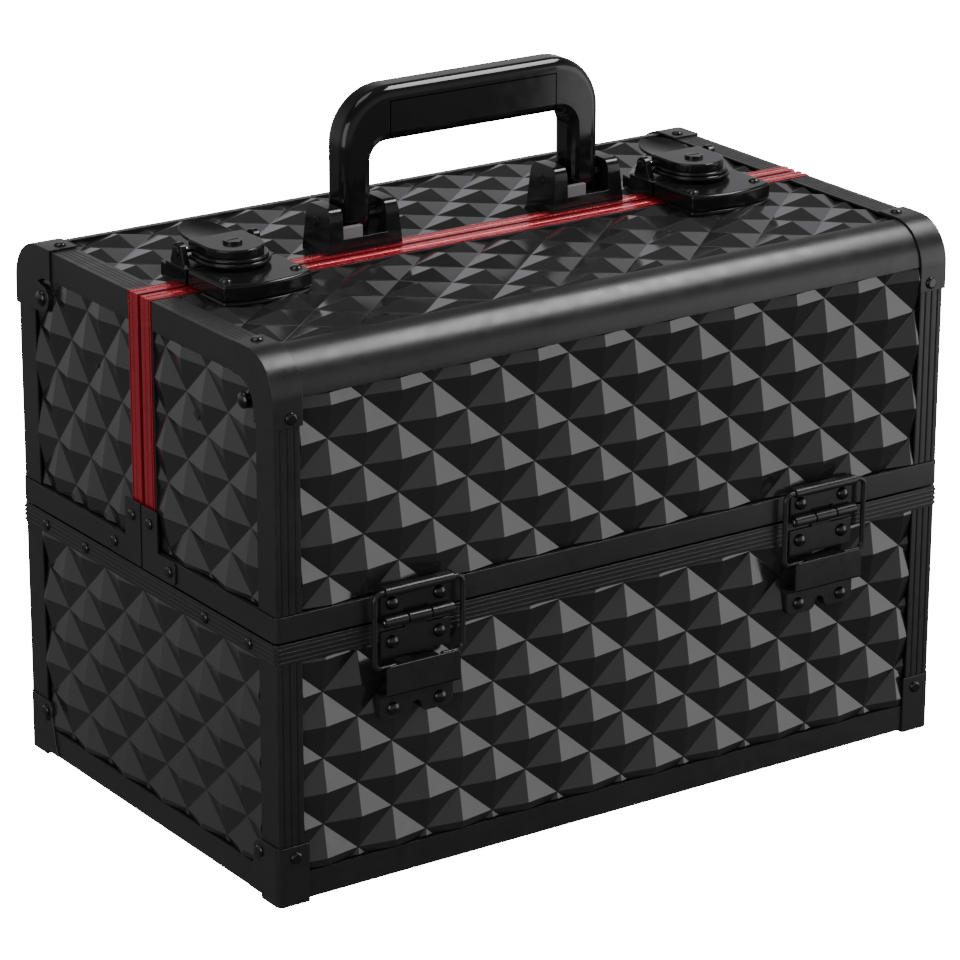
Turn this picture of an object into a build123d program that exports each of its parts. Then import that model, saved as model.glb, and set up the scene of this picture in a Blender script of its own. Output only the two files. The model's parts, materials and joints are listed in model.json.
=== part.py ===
"""Makeup train case: a base box, two lids that open outwards, four cantilever trays.

Frame: millimetres, +Z up, +X along the long side, the front lid towards -Y.
The origin is on the floor, under the middle of the case.
The front half is drawn and mirrored in the XZ plane to give the rear half.
Heights of what stands on the lids are measured from the top face.
"""
from build123d import *
import os
from math import atan2, cos, degrees, radians, sin, sqrt

os.makedirs("parts", exist_ok=True)

# ---- case ----
WIDTH = 365.0
DEPTH = 220.0
HEIGHT = 250.0
FOOT = 4.0
SEAM = FOOT + 122.5
TOP = FOOT + HEIGHT
HALF_W = WIDTH / 2
HALF_D = DEPTH / 2
WALL = 5.0
SKIN = 1.2
BOARD = WALL - SKIN
SEAM_GAP = 0.5
SPLIT_GAP = 0.4
EDGE_R = 19.0
PAD_X = 158.0
PAD_Y = 86.0
PAD_R = 9.0
PAD_CHAMFER = 0.8

# ---- aluminium profiles ----
POST_FRONT = 13.0
POST_END = 14.5
TOP_END = 13.5
WINDOW_R = 13.0
PROUD = 1.0
BAND_R = 3.0
BASE_BAND = 9.8
LID_BAND = 11.5
BOTTOM_BAND = 13.0
BOTTOM_R = 2.0
BOTTOM_EDGE_R = 1.1
RED_WIDTH = 10.0
RED_PROUD = 0.3
GROOVE_W = 0.7
GROOVE_D = 0.5
POST_GROOVES = (2.6, 6.2, 9.8)
RED_GROOVES = (2.4, 4.65, 6.9)

# ---- sheet-steel corners ----
SHEET = 1.0
PROTECTOR_X = 15.0
PROTECTOR_Y = 14.0
PROTECTOR_H = 27.0
PROTECTOR_R = 3.0
CAP_REACH = 32.0
CAP_WIDTH = 14.0
TEE_GAP = 0.2
TEE_LOW = 0.5
TEE_FOOT = 29.0
TEE_STEM = 14.0
TEE_H = 19.0
TEE_R = 3.0
TEE_BACK = 1.0

# ---- rivets ----
RIVET_H = 1.3
BAND_RIVET_R = 2.6
CORNER_RIVET_R = 2.8
BAND_RIVETS_Y = (-89.0, -52.5)
BAND_RIVET_DOWN = 6.0
CORNER_RIVET_IN = 8.0
PROTECTOR_RIVET_IN = 7.0
PROTECTOR_RIVET_Z = FOOT + 21.5
CAP_TOP_RIVET_IN = 25.5
CAP_FRONT_RIVET_DOWN = 27.0
CAP_END_RIVET = (22.5, 23.5)
TEE_STEM_RIVET = (7.5, 12.0)
TEE_FOOT_RIVET = (24.0, 6.0)
LEAF_RIVET_X = 12.3

# ---- hinges ----
AXIS_OUT = HALF_D + 4.4
HINGE_X = 112.6
LEAF_W = 36.3
KNUCKLE_R = 2.5
PIN_R = 1.2
RUNNING = 0.05
PIN_PAST = 0.4
KNUCKLE_PLAY = 0.3
LEAF_EDGE = 2.4
LID_RIVET_UP = 7.5
BASE_LEAF_LOW = SEAM - 17.8
BASE_LEAF_HIGH = SEAM - 5.3
BASE_RIVET_Z = SEAM - 10.5

# ---- stays ----
SLEEVE_Z = SEAM + 14.0
SLEEVE_WEB = 1.0
WIRE_R = 1.25
WIRE_HALF = 23.0
WIRE_END_Z = SEAM - 21.0
WIRE_TIP = 12.0
WIRE_BEND = 3.5
STAY_HALF = 19.3
STAY_SHEET = 1.2
STAY_GAP = 2.0
STAY_HIGH = SEAM - 19.0
STAY_STEP = SEAM - 34.5
STAY_FOOT_HIGH = SEAM - 36.5
STAY_FOOT_LOW = SEAM - 46.5
STAY_FOOT_OUT = 2.6
STAY_CORE_HALF = 10.0
STAY_CORE_HIGH = SEAM - 20.0
STAY_NOTCH_HALF = 3.0
STAY_NOTCH_HIGH = SEAM - 42.0
STAY_RIVET_Z = SEAM - 41.5

# ---- cantilever mechanism ----
ARM_LEAN = 40.0
PIVOT_IN = 30.0
PIVOT_DOWN = 8.0
ARM_PITCH = 18.0
LOWER_R = 44.0
UPPER_R = 88.0
LINK_R = 110.0
ARM_X = 169.8
ARM_T = 1.5
ARM_W = 9.0
LINK_GAP = 0.5
LINK_X = ARM_X + ARM_T + LINK_GAP
PIVOT_R = 2.0
PIVOT_DEPTH = 3.0
PIVOT_PLAY = 0.2
COLLAR_R = 3.5
COLLAR_GAP = 0.5
LINK_HOLE_R = 2.3
STUB_R = 1.5
STUB_PAST = 0.3
STUB_HOLE_R = 1.8
TRAY_HALF = 169.0
TRAY_H = 26.0
TRAY_WALL = 2.0
TRAY_PIVOT = 7.7
TRAY_NEAR = 92.4
TRAY_FAR = 3.0
TRAY_R = 5.0
DIVIDER_T = 1.6
DIVIDER_DOWN = 4.0

# ---- latches ----
LATCHES = (("left", -135.5), ("right", 119.0))
LEVER_Y = 12.0
LEVER_Z = TOP + 12.8
LEVER_TIP = -19.0
LEVER_LOW = TOP + 11.5
LEVER_HALF = 17.0
LEVER_SHOULDER = -10.0
LEVER_BACK = 3.0
LEVER_T = 3.0
LOOP_Y = -10.5
LOOP_SPAN = 14.0
LOOP_W = 5.0
LOCK_Y = -2.0
LOCK_W = 22.0
LOCK_D = 11.0
LOCK_H = 2.2
LOCK_R = 3.0
NECK_HALF = 10.5
BARREL_HALF = 11.1
BARREL_R = 3.6
TAB_END = 36.0
TAB_W = 22.0
TAB_R = 8.0
TAB_LIFT = 1.0
TAB_T = 2.4
LATCH_PIN_R = 1.5
LATCH_PIN_HALF = 17.4
PLUG_R = 4.4
PLUG_Y = -1.5
PLUG_LIFT = 0.3
PLUG_H = 6.4
KEYWAY_HALF = 2.8
KEYWAY_W = 1.2
KEYWAY_D = 3.7
PLATE_HALF = 23.0
PLATE_END = -31.0
PLATE_BOW = -36.0
PLATE_H = 8.0
PLATE_GAP = 0.3
PLATE_R = 1.5
PLATE_RIVET = (18.0, -24.0)
BLOCK_NEAR = 0.7
BLOCK_FAR = 18.0
BLOCK_H = 6.0
BLOCK_POCKET = 1.0
LUG_INNER = 11.5
LUG_OUTER = 17.0
LUG_NEAR = 5.0
LUG_H = 16.0
LUG_R = 3.0
SWEEP_HALF = 18.5
SWEEP_GAP = 0.6

# ---- handle ----
BRACKET_X = 62.0
BRACKET_W = 40.0
BRACKET_Y = (4.0, 26.0)
BRACKET_H = 21.0
HANDLE_Y = 16.0
HANDLE_PIVOT = TOP + 13.0
HANDLE_T = 16.0
HANDLE_HALF = 71.0
HANDLE_LEG = 16.0
HANDLE_TOP = TOP + 72.5
HANDLE_GRIP = 26.0
HANDLE_OUTER_R = 26.0
HANDLE_INNER_R = 8.0
HANDLE_PIN_R = 2.5
HANDLE_PIN_IN = 2.0
FORK_W = 23.0
FORK_FLOOR = 4.0
FORK_SILL = 7.0
FORK_WALL = 2.5
BRACKET_R = 7.0
BRACKET_EDGE_R = 1.5


def block(x, y, z, mode=Mode.ADD):
    """A box given by its low and high x, y and z."""
    with Locations(((x[0] + x[1]) / 2, (y[0] + y[1]) / 2, (z[0] + z[1]) / 2)):
        Box(x[1] - x[0], y[1] - y[0], z[1] - z[0], mode=mode)


def rod(x, y, z, radius, mode=Mode.ADD):
    """A cylinder along X from x[0] to x[1]."""
    with Locations(Location(((x[0] + x[1]) / 2, y, z), (0, 90, 0))):
        Cylinder(radius, x[1] - x[0], mode=mode)


def head(place, turn, radius):
    """A domed rivet head standing on a surface; turn tips it from +Z."""
    with Locations(Location(place, turn)):
        with Locations((0, 0, RIVET_H / 4)):
            Cylinder(radius, RIVET_H / 2)
        with Locations((0, 0, RIVET_H * 0.75)):
            Cone(radius, radius * 0.6, RIVET_H / 2)


FRONT_FACE = (90, 0, 0)
RIGHT_FACE = (0, 90, 0)
TOP_FACE = (0, 0, 0)


def patch(y, z, mode=Mode.ADD):
    """A rectangle in the YZ sketch plane, given by its low and high y and z."""
    with Locations(((y[0] + y[1]) / 2, (z[0] + z[1]) / 2)):
        Rectangle(y[1] - y[0], z[1] - z[0], mode=mode)


def save(piece, name):
    """Label one finished piece and write it."""
    piece.label = name
    export_step(piece, f"parts/{name}.step")


def save_pair(piece, name):
    """Write a front piece and its rear twin."""
    save(piece, f"front_{name}")
    save(mirror(piece, about=Plane.XZ), f"rear_{name}")


# ======== base box ========
BOARD_Z = (FOOT + SKIN, SEAM - SEAM_GAP - SKIN)
OUT_X = HALF_W - SKIN
OUT_Y = HALF_D - SKIN
IN_X = HALF_W - WALL
IN_Y = HALF_D - WALL
PIVOT_Y = -AXIS_OUT + PIVOT_IN
PIVOT_Z = SEAM - PIVOT_DOWN
PIVOT_HOLE = (IN_X - 1, IN_X + PIVOT_DEPTH + PIVOT_PLAY)

with BuildPart() as base_long_panel:
    block((-OUT_X, OUT_X), (-OUT_Y, -IN_Y), BOARD_Z)
save_pair(base_long_panel.part, "base_panel")

with BuildPart() as base_end_panels:
    block((IN_X, OUT_X), (-IN_Y, IN_Y), BOARD_Z)
    for side in (1, -1):
        for inner in (0, ARM_PITCH):
            rod(PIVOT_HOLE, side * (PIVOT_Y + inner), PIVOT_Z, PIVOT_R + RUNNING, Mode.SUBTRACT)
    mirror(about=Plane.YZ)
save(base_end_panels.part, "base_end_panels")

with BuildPart() as base_bottom:
    block((-IN_X, IN_X), (-IN_Y, IN_Y), (FOOT + SKIN, FOOT + WALL))
save(base_bottom.part, "base_bottom")


def post_grooves(z):
    """Three shallow grooves down the front leg of a corner post."""
    for step in POST_GROOVES:
        groove = HALF_W - POST_FRONT + step
        block((groove, groove + GROOVE_W), (-HALF_D, -HALF_D + GROOVE_D), z, Mode.SUBTRACT)


with BuildPart() as base_posts:
    post_z = (FOOT + BOTTOM_BAND, SEAM - SEAM_GAP - BASE_BAND)
    block((HALF_W - POST_FRONT, HALF_W), (-HALF_D, -OUT_Y), post_z)
    block((OUT_X, HALF_W), (-OUT_Y, -HALF_D + POST_END), post_z)
    post_grooves(post_z)
    mirror(about=Plane.YZ)
    mirror(about=Plane.XZ)
save(base_posts.part, "base_posts")

with BuildPart() as base_rim:
    band_top = SEAM - SEAM_GAP
    block((-HALF_W - PROUD, HALF_W + PROUD), (-HALF_D - PROUD, HALF_D + PROUD),
          (band_top - BASE_BAND, band_top))
    fillet(base_rim.edges().filter_by(Axis.Z), BAND_R)
    block((-OUT_X, OUT_X), (-OUT_Y, OUT_Y), (band_top - BASE_BAND, band_top - SKIN), Mode.SUBTRACT)
    block((-IN_X, IN_X), (-IN_Y, IN_Y), (band_top - BASE_BAND, band_top), Mode.SUBTRACT)
save(base_rim.part, "base_rim")

with BuildPart() as base_bottom_profile:
    lip_x = HALF_W - BOTTOM_BAND
    lip_y = HALF_D - BOTTOM_BAND
    block((-HALF_W, HALF_W), (-HALF_D, HALF_D), (FOOT, FOOT + BOTTOM_BAND))
    fillet(base_bottom_profile.edges().filter_by(Axis.Z), BOTTOM_R)
    fillet(base_bottom_profile.faces().sort_by(Axis.Z)[0].edges(), BOTTOM_EDGE_R)
    block((-OUT_X, OUT_X), (-OUT_Y, OUT_Y), (FOOT + SKIN, FOOT + BOTTOM_BAND), Mode.SUBTRACT)
    block((-lip_x, lip_x), (-lip_y, lip_y), (FOOT, FOOT + SKIN), Mode.SUBTRACT)
save(base_bottom_profile.part, "base_bottom_profile")

with BuildPart() as base_corner_protectors:
    inner_x = HALF_W - PROTECTOR_X
    inner_y = -HALF_D + PROTECTOR_Y
    high = FOOT + PROTECTOR_H
    block((inner_x, HALF_W + SHEET), (-HALF_D - SHEET, inner_y), (FOOT - SHEET, high))
    corner = base_corner_protectors.edges().filter_by(Axis.Z).sort_by(Axis.Y)[:2].sort_by(Axis.X)[-1]
    fillet(corner, PROTECTOR_R)
    block((inner_x, HALF_W), (-HALF_D, inner_y), (FOOT, high), Mode.SUBTRACT)
    mirror(about=Plane.YZ)
    mirror(about=Plane.XZ)
save(base_corner_protectors.part, "base_corner_protectors")

with BuildPart() as feet:
    for x in (-PAD_X, PAD_X):
        for y in (-PAD_Y, PAD_Y):
            with Locations((x, y, (FOOT + SKIN) / 2)):
                Cylinder(PAD_R, FOOT + SKIN)
    chamfer(feet.edges().group_by(Axis.Z)[0], PAD_CHAMFER)
save(feet.part, "feet")

with BuildPart() as base_rivets:
    for y in BAND_RIVETS_Y:
        head((HALF_W + PROUD, y, SEAM - BAND_RIVET_DOWN), RIGHT_FACE, BAND_RIVET_R)
    front_rivet = (HALF_W - CORNER_RIVET_IN, -HALF_D - SHEET, PROTECTOR_RIVET_Z)
    end_rivet = (HALF_W + SHEET, -HALF_D + PROTECTOR_RIVET_IN, PROTECTOR_RIVET_Z)
    head(front_rivet, FRONT_FACE, CORNER_RIVET_R)
    head(end_rivet, RIGHT_FACE, CORNER_RIVET_R)
    mirror(about=Plane.YZ)
    mirror(about=Plane.XZ)
save(base_rivets.part, "base_rivets")

# ======== lids: the front one is drawn ========
LID_LOW = SEAM + SEAM_GAP
BAND_HIGH = LID_LOW + LID_BAND
ARC_Y = -HALF_D + EDGE_R
ARC_Z = TOP - EDGE_R
EDGE_Y = -SPLIT_GAP
LEAN_X = -sin(radians(ARM_LEAN))
LEAN_Z = cos(radians(ARM_LEAN))
LINK_PIVOT_Y = -AXIS_OUT - LINK_R * LEAN_X
LINK_PIVOT_Z = SEAM + LINK_R * LEAN_Z
SWEEP_R = sqrt((AXIS_OUT + LEVER_TIP) ** 2 + (LEVER_LOW - SEAM) ** 2) - SWEEP_GAP
SWEEP_Y = (-40.0, 2.0)
SWEEP_Z = (TOP - 12.0, TOP + 20.0)

with BuildPart() as lever_sweep:
    for _, x in LATCHES:
        block((x - SWEEP_HALF, x + SWEEP_HALF), SWEEP_Y, SWEEP_Z)
    rod((-HALF_W, HALF_W), -AXIS_OUT, SEAM, SWEEP_R, Mode.SUBTRACT)

with BuildPart() as lid_panel:
    block((-OUT_X, OUT_X), (-OUT_Y, -IN_Y), (LID_LOW + SKIN, ARC_Z))
save_pair(lid_panel.part, "lid_panel")

with BuildPart() as lid_top_panel:
    block((-OUT_X, OUT_X), (ARC_Y, EDGE_Y - SKIN), (TOP - WALL, TOP - SKIN))
rear_top_panel = mirror(lid_top_panel.part, about=Plane.XZ)
save(lid_top_panel.part - lever_sweep.part, "front_lid_top_panel")
save(rear_top_panel, "rear_lid_top_panel")

with BuildPart() as lid_end_panels:
    with BuildSketch(Plane.YZ.offset(IN_X)) as end_outline:
        with BuildLine():
            arc_start = (ARC_Y, TOP - WALL)
            arc_end = (-IN_Y, ARC_Z)
            Line((-IN_Y, LID_LOW + SKIN), arc_end)
            RadiusArc(arc_end, arc_start, EDGE_R - WALL)
            Line(arc_start, (EDGE_Y - SKIN, TOP - WALL))
            Line((EDGE_Y - SKIN, TOP - WALL), (EDGE_Y - SKIN, LID_LOW + SKIN))
            Line((EDGE_Y - SKIN, LID_LOW + SKIN), (-IN_Y, LID_LOW + SKIN))
        make_face()
    extrude(amount=BOARD)
    rod(PIVOT_HOLE, LINK_PIVOT_Y, LINK_PIVOT_Z, LINK_HOLE_R, Mode.SUBTRACT)
    mirror(about=Plane.YZ)
save_pair(lid_end_panels.part, "lid_end_panels")

with BuildPart() as lid_edge_profile:
    with BuildSketch(Plane.YZ.offset(-HALF_W)):
        with Locations((ARC_Y, ARC_Z)):
            Circle(EDGE_R)
            Circle(EDGE_R - WALL, mode=Mode.SUBTRACT)
        with Locations((ARC_Y, ARC_Z)):
            Rectangle(EDGE_R, EDGE_R, align=(Align.MAX, Align.MIN), mode=Mode.INTERSECT)
    extrude(amount=WIDTH)
save_pair(lid_edge_profile.part, "lid_edge_profile")

with BuildPart() as lid_rim:
    block((-HALF_W - PROUD, HALF_W + PROUD), (-HALF_D - PROUD, EDGE_Y), (LID_LOW, BAND_HIGH))
    fillet(lid_rim.edges().filter_by(Axis.Z).group_by(Axis.Y)[0], BAND_R)
    block((-OUT_X, OUT_X), (-OUT_Y, 0), (LID_LOW + SKIN, BAND_HIGH), Mode.SUBTRACT)
    block((-IN_X, IN_X), (-IN_Y, 0), (LID_LOW, LID_LOW + SKIN), Mode.SUBTRACT)
save_pair(lid_rim.part, "lid_rim")

RED_END = EDGE_Y - RED_WIDTH
with BuildSketch(Plane.YZ) as end_window:
    with Locations((-HALF_D + POST_END, TOP - TOP_END)):
        RectangleRounded(HEIGHT, HEIGHT, WINDOW_R, align=(Align.MIN, Align.MAX))

with BuildSketch(Plane.YZ) as end_border:
    patch((-HALF_D, -IN_Y), (BAND_HIGH, ARC_Z))
    patch((ARC_Y, RED_END), (TOP - WALL, TOP - SKIN))
    patch((-IN_Y, RED_END), (BAND_HIGH, TOP - WALL))
    patch((-IN_Y, ARC_Y), (ARC_Z, TOP - WALL), Mode.SUBTRACT)
    with Locations((ARC_Y, ARC_Z)):
        Circle(EDGE_R - WALL)
    add(end_window.sketch_local, mode=Mode.SUBTRACT)

with BuildPart() as lid_end_trims:
    extrude(Pos(OUT_X, 0, 0) * end_border.sketch, amount=SKIN)
    block((HALF_W - POST_FRONT, OUT_X), (-HALF_D, -OUT_Y), (BAND_HIGH, ARC_Z))
    post_grooves((BAND_HIGH, ARC_Z))
    block((HALF_W - POST_FRONT, HALF_W), (ARC_Y, RED_END), (TOP - SKIN, TOP))
    mirror(about=Plane.YZ)
save_pair(lid_end_trims.part, "lid_end_trims")

with BuildPart() as lid_split_profile:
    high = TOP + RED_PROUD
    wide = HALF_W + RED_PROUD
    block((-wide, wide), (RED_END, EDGE_Y), (BAND_HIGH, high))
    block((-OUT_X, OUT_X), (RED_END, EDGE_Y), (BAND_HIGH, TOP - SKIN), Mode.SUBTRACT)
    block((-OUT_X, OUT_X), (EDGE_Y - SKIN, EDGE_Y), (TOP - WALL, TOP - SKIN))
    for side in (1, -1):
        block(sorted((side * IN_X, side * OUT_X)), (EDGE_Y - SKIN, EDGE_Y), (BAND_HIGH, TOP - WALL))
    for step in RED_GROOVES:
        groove = (RED_END + step, RED_END + step + GROOVE_W)
        block((-wide, wide), groove, (high - GROOVE_D, high), Mode.SUBTRACT)
rear_split = mirror(lid_split_profile.part, about=Plane.XZ)
save(lid_split_profile.part - lever_sweep.part, "front_lid_split_profile")
save(rear_split, "rear_lid_split_profile")


def cap_outline(reach, corner):
    """A square in the upper outer corner of the end view, with that corner rounded."""
    with BuildSketch(Plane.YZ) as outline:
        with Locations((-HALF_D - SHEET + CAP_REACH, TOP + SHEET - CAP_REACH)):
            Rectangle(reach, reach, align=(Align.MAX, Align.MIN))
        fillet(outline.vertices().group_by(Axis.X)[0].sort_by(Axis.Y)[-1], corner)
    return outline.sketch


with BuildPart() as lid_corner_caps:
    full = cap_outline(CAP_REACH, EDGE_R + SHEET)
    hollow = cap_outline(CAP_REACH - SHEET, EDGE_R)
    extrude(Pos(HALF_W - CAP_WIDTH, 0, 0) * full, amount=CAP_WIDTH + SHEET)
    extrude(Pos(HALF_W - CAP_WIDTH, 0, 0) * hollow, amount=CAP_WIDTH, mode=Mode.SUBTRACT)
    extrude(Pos(HALF_W, 0, 0) * end_window.sketch, amount=SHEET, mode=Mode.SUBTRACT)
    mirror(about=Plane.YZ)
save_pair(lid_corner_caps.part, "lid_corner_caps")

with BuildPart() as lid_split_brackets:
    edge = HALF_W + PROUD
    tee_edge = EDGE_Y - TEE_GAP
    tee_high = BAND_HIGH + TEE_H
    block((edge, edge + SHEET), (-TEE_FOOT, tee_edge), (LID_LOW + TEE_LOW, BAND_HIGH))
    block((edge, edge + SHEET), (-TEE_STEM, tee_edge), (BAND_HIGH, tee_high))
    fillet(lid_split_brackets.edges().filter_by(Axis.X).sort_by(Axis.Y)[:2], TEE_R)
    block((HALF_W + RED_PROUD, edge), (-TEE_STEM + TEE_BACK, tee_edge), (BAND_HIGH, tee_high - TEE_BACK))
    mirror(about=Plane.YZ)
save_pair(lid_split_brackets.part, "lid_split_brackets")

with BuildPart() as lid_rivets:
    rivet_x = HALF_W - CORNER_RIVET_IN
    cap_y = -HALF_D + CAP_END_RIVET[0]
    cap_z = TOP - CAP_END_RIVET[1]
    tee_x = HALF_W + PROUD + SHEET
    head((rivet_x, -HALF_D + CAP_TOP_RIVET_IN, TOP + SHEET), TOP_FACE, CORNER_RIVET_R)
    head((rivet_x, -HALF_D - SHEET, TOP - CAP_FRONT_RIVET_DOWN), FRONT_FACE, CORNER_RIVET_R)
    rod((OUT_X, HALF_W + SHEET), cap_y, cap_z, CORNER_RIVET_R)
    head((HALF_W + SHEET, cap_y, cap_z), RIGHT_FACE, CORNER_RIVET_R)
    head((tee_x, -TEE_STEM_RIVET[0], BAND_HIGH + TEE_STEM_RIVET[1]), RIGHT_FACE, BAND_RIVET_R)
    head((tee_x, -TEE_FOOT_RIVET[0], LID_LOW + TEE_FOOT_RIVET[1]), RIGHT_FACE, BAND_RIVET_R)
    mirror(about=Plane.YZ)
save_pair(lid_rivets.part, "lid_rivets")

# ======== hinges and stays ========
LEAF_Y = (-HALF_D - PROUD - SHEET, -HALF_D - PROUD)
KNUCKLE = LEAF_W / 3
HINGES = (-HINGE_X, HINGE_X)


def leaf_rivets(x, z):
    """Two domed rivets on a hinge leaf."""
    for step in (-LEAF_RIVET_X, LEAF_RIVET_X):
        head((x + step, LEAF_Y[0], z), FRONT_FACE, BAND_RIVET_R)


with BuildPart() as lid_hinge_leaves:
    for x in HINGES:
        left = x - LEAF_W / 2
        right = x + LEAF_W / 2
        web_low = SLEEVE_Z - KNUCKLE_R
        block((left, right), LEAF_Y, (SEAM + LEAF_EDGE, SLEEVE_Z))
        for start in (left, right - KNUCKLE + KNUCKLE_PLAY):
            span = (start, start + KNUCKLE - KNUCKLE_PLAY)
            block(span, LEAF_Y, (SEAM, SEAM + LEAF_EDGE))
            rod(span, -AXIS_OUT, SEAM, KNUCKLE_R)
        rod((left, right), -AXIS_OUT, SLEEVE_Z, KNUCKLE_R)
        block((left, right), (-AXIS_OUT, LEAF_Y[1]), (web_low, web_low + SLEEVE_WEB))
        leaf_rivets(x, SEAM + LID_RIVET_UP)
        rod((left - 1, right + 1), -AXIS_OUT, SEAM, PIN_R + RUNNING, Mode.SUBTRACT)
        rod((left - 1, right + 1), -AXIS_OUT, SLEEVE_Z, WIRE_R + RUNNING, Mode.SUBTRACT)
save_pair(lid_hinge_leaves.part, "lid_hinge_leaves")

with BuildPart() as base_hinge_leaves:
    for x in HINGES:
        span = (x - KNUCKLE / 2, x + KNUCKLE / 2)
        block((x - LEAF_W / 2, x + LEAF_W / 2), LEAF_Y, (BASE_LEAF_LOW, BASE_LEAF_HIGH))
        block(span, LEAF_Y, (BASE_LEAF_HIGH, SEAM))
        rod(span, -AXIS_OUT, SEAM, KNUCKLE_R)
        leaf_rivets(x, BASE_RIVET_Z)
        rod((x - LEAF_W, x + LEAF_W), -AXIS_OUT, SEAM, PIN_R + RUNNING, Mode.SUBTRACT)
save_pair(base_hinge_leaves.part, "base_hinge_leaves")

with BuildPart() as hinge_pins:
    reach = LEAF_W / 2 + PIN_PAST
    for x in HINGES:
        rod((x - reach, x + reach), -AXIS_OUT, SEAM, PIN_R)
save_pair(hinge_pins.part, "hinge_pins")

BRIDGE_Y = -AXIS_OUT - WIRE_R - STAY_GAP
with BuildPart() as stay_brackets:
    for x in HINGES:
        wide = (x - STAY_HALF, x + STAY_HALF)
        core = (x - STAY_CORE_HALF, x + STAY_CORE_HALF)
        notch = (x - STAY_NOTCH_HALF, x + STAY_NOTCH_HALF)
        foot_y = (-HALF_D - STAY_FOOT_OUT, -OUT_Y)
        block(wide, (BRIDGE_Y - STAY_SHEET, BRIDGE_Y), (STAY_STEP, STAY_HIGH))
        block(wide, (BRIDGE_Y - STAY_SHEET, -OUT_Y), (STAY_FOOT_HIGH, STAY_STEP))
        block(wide, foot_y, (STAY_FOOT_LOW, STAY_FOOT_HIGH))
        block(core, (BRIDGE_Y, -OUT_Y), (STAY_STEP, STAY_CORE_HIGH))
        block(notch, foot_y, (STAY_FOOT_LOW, STAY_NOTCH_HIGH), Mode.SUBTRACT)
        for step in (-LEAF_RIVET_X, LEAF_RIVET_X):
            head((x + step, foot_y[0], STAY_RIVET_Z), FRONT_FACE, CORNER_RIVET_R)
save_pair(stay_brackets.part, "stay_brackets")


def stay_wire(x):
    """A square bail: its top bar lies in the sleeve, its tips turn inwards."""
    with BuildPart() as wire:
        with BuildLine(Plane.XZ.offset(AXIS_OUT)) as route:
            FilletPolyline((x - WIRE_TIP, WIRE_END_Z), (x - WIRE_HALF, WIRE_END_Z),
                           (x - WIRE_HALF, SLEEVE_Z), (x + WIRE_HALF, SLEEVE_Z),
                           (x + WIRE_HALF, WIRE_END_Z), (x + WIRE_TIP, WIRE_END_Z), radius=WIRE_BEND)
        with BuildSketch(Plane(origin=route.line @ 0, z_dir=route.line % 0)):
            Circle(WIRE_R)
        sweep()
    return wire.part


stay_wires = Compound(children=[stay_wire(x) for x in HINGES])
save_pair(stay_wires, "stay_wires")

# ======== cantilever arms and trays ========


def along(radius, start_y=PIVOT_Y):
    """The point at a radius up an arm that leans inwards, as y and z."""
    return start_y - radius * LEAN_X, PIVOT_Z + radius * LEAN_Z


def bar(x, start, end):
    """A flat bar with round ends between two points given as y and z."""
    middle = ((start[0] + end[0]) / 2, (start[1] + end[1]) / 2)
    length = sqrt((end[0] - start[0]) ** 2 + (end[1] - start[1]) ** 2)
    rise = degrees(atan2(end[1] - start[1], end[0] - start[0]))
    with BuildSketch(Plane.YZ.offset(x)) as outline:
        with Locations(Location((middle[0], middle[1], 0), (0, 0, rise))):
            SlotCenterToCenter(length, ARM_W)
    extrude(outline.sketch, amount=ARM_T)


def board_pin(x, y, z):
    """A pin from a bar into the end board, with a collar between them."""
    rod((x, IN_X + PIVOT_DEPTH), y, z, PIVOT_R)
    rod((x + ARM_T, IN_X - COLLAR_GAP), y, z, COLLAR_R)


THROUGH_ARM = (ARM_X - 1, ARM_X + 2 * ARM_T)

with BuildPart() as outer_arms:
    bar(ARM_X, along(0), along(LINK_R))
    board_pin(ARM_X, PIVOT_Y, PIVOT_Z)
    for radius in (LOWER_R, UPPER_R):
        rod(THROUGH_ARM, *along(radius), STUB_R + RUNNING, Mode.SUBTRACT)
    rod(THROUGH_ARM, *along(LINK_R), PIVOT_R + RUNNING, Mode.SUBTRACT)
    mirror(about=Plane.YZ)
save_pair(outer_arms.part, "outer_arms")

with BuildPart() as inner_arms:
    start = PIVOT_Y + ARM_PITCH
    bar(ARM_X, along(0, start), along(UPPER_R, start))
    board_pin(ARM_X, start, PIVOT_Z)
    for radius in (LOWER_R, UPPER_R):
        rod(THROUGH_ARM, *along(radius, start), STUB_HOLE_R, Mode.SUBTRACT)
    mirror(about=Plane.YZ)
save_pair(inner_arms.part, "inner_arms")

with BuildPart() as lid_links:
    knee = along(LINK_R)
    bar(LINK_X, knee, (LINK_PIVOT_Y, LINK_PIVOT_Z))
    rod((ARM_X - LINK_GAP, LINK_X), *knee, PIVOT_R)
    board_pin(LINK_X, LINK_PIVOT_Y, LINK_PIVOT_Z)
    mirror(about=Plane.YZ)
save_pair(lid_links.part, "lid_links")


def tray(radius):
    """An open tray with two dividers and stub pins in both arms at each end."""
    pivot_y, pivot_z = along(radius)
    low = pivot_z - TRAY_PIVOT
    near = -TRAY_NEAR
    far = -TRAY_FAR
    with BuildPart() as body:
        block((-TRAY_HALF, TRAY_HALF), (near, far), (low, low + TRAY_H))
        fillet(body.edges().filter_by(Axis.Z), TRAY_R)
        opening = body.faces().sort_by(Axis.Z)[-1]
        offset(amount=-TRAY_WALL, openings=opening, kind=Kind.INTERSECTION)
        for x in (-TRAY_HALF / 3, TRAY_HALF / 3):
            block((x - DIVIDER_T / 2, x + DIVIDER_T / 2), (near + TRAY_WALL, far - TRAY_WALL),
                  (low + TRAY_WALL, low + TRAY_H - DIVIDER_DOWN))
        reach = ARM_X + ARM_T + STUB_PAST
        for start_y in (pivot_y, pivot_y + ARM_PITCH):
            rod((TRAY_HALF, reach), start_y, pivot_z, STUB_R)
            rod((-reach, -TRAY_HALF), start_y, pivot_z, STUB_R)
    return body.part


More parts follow.
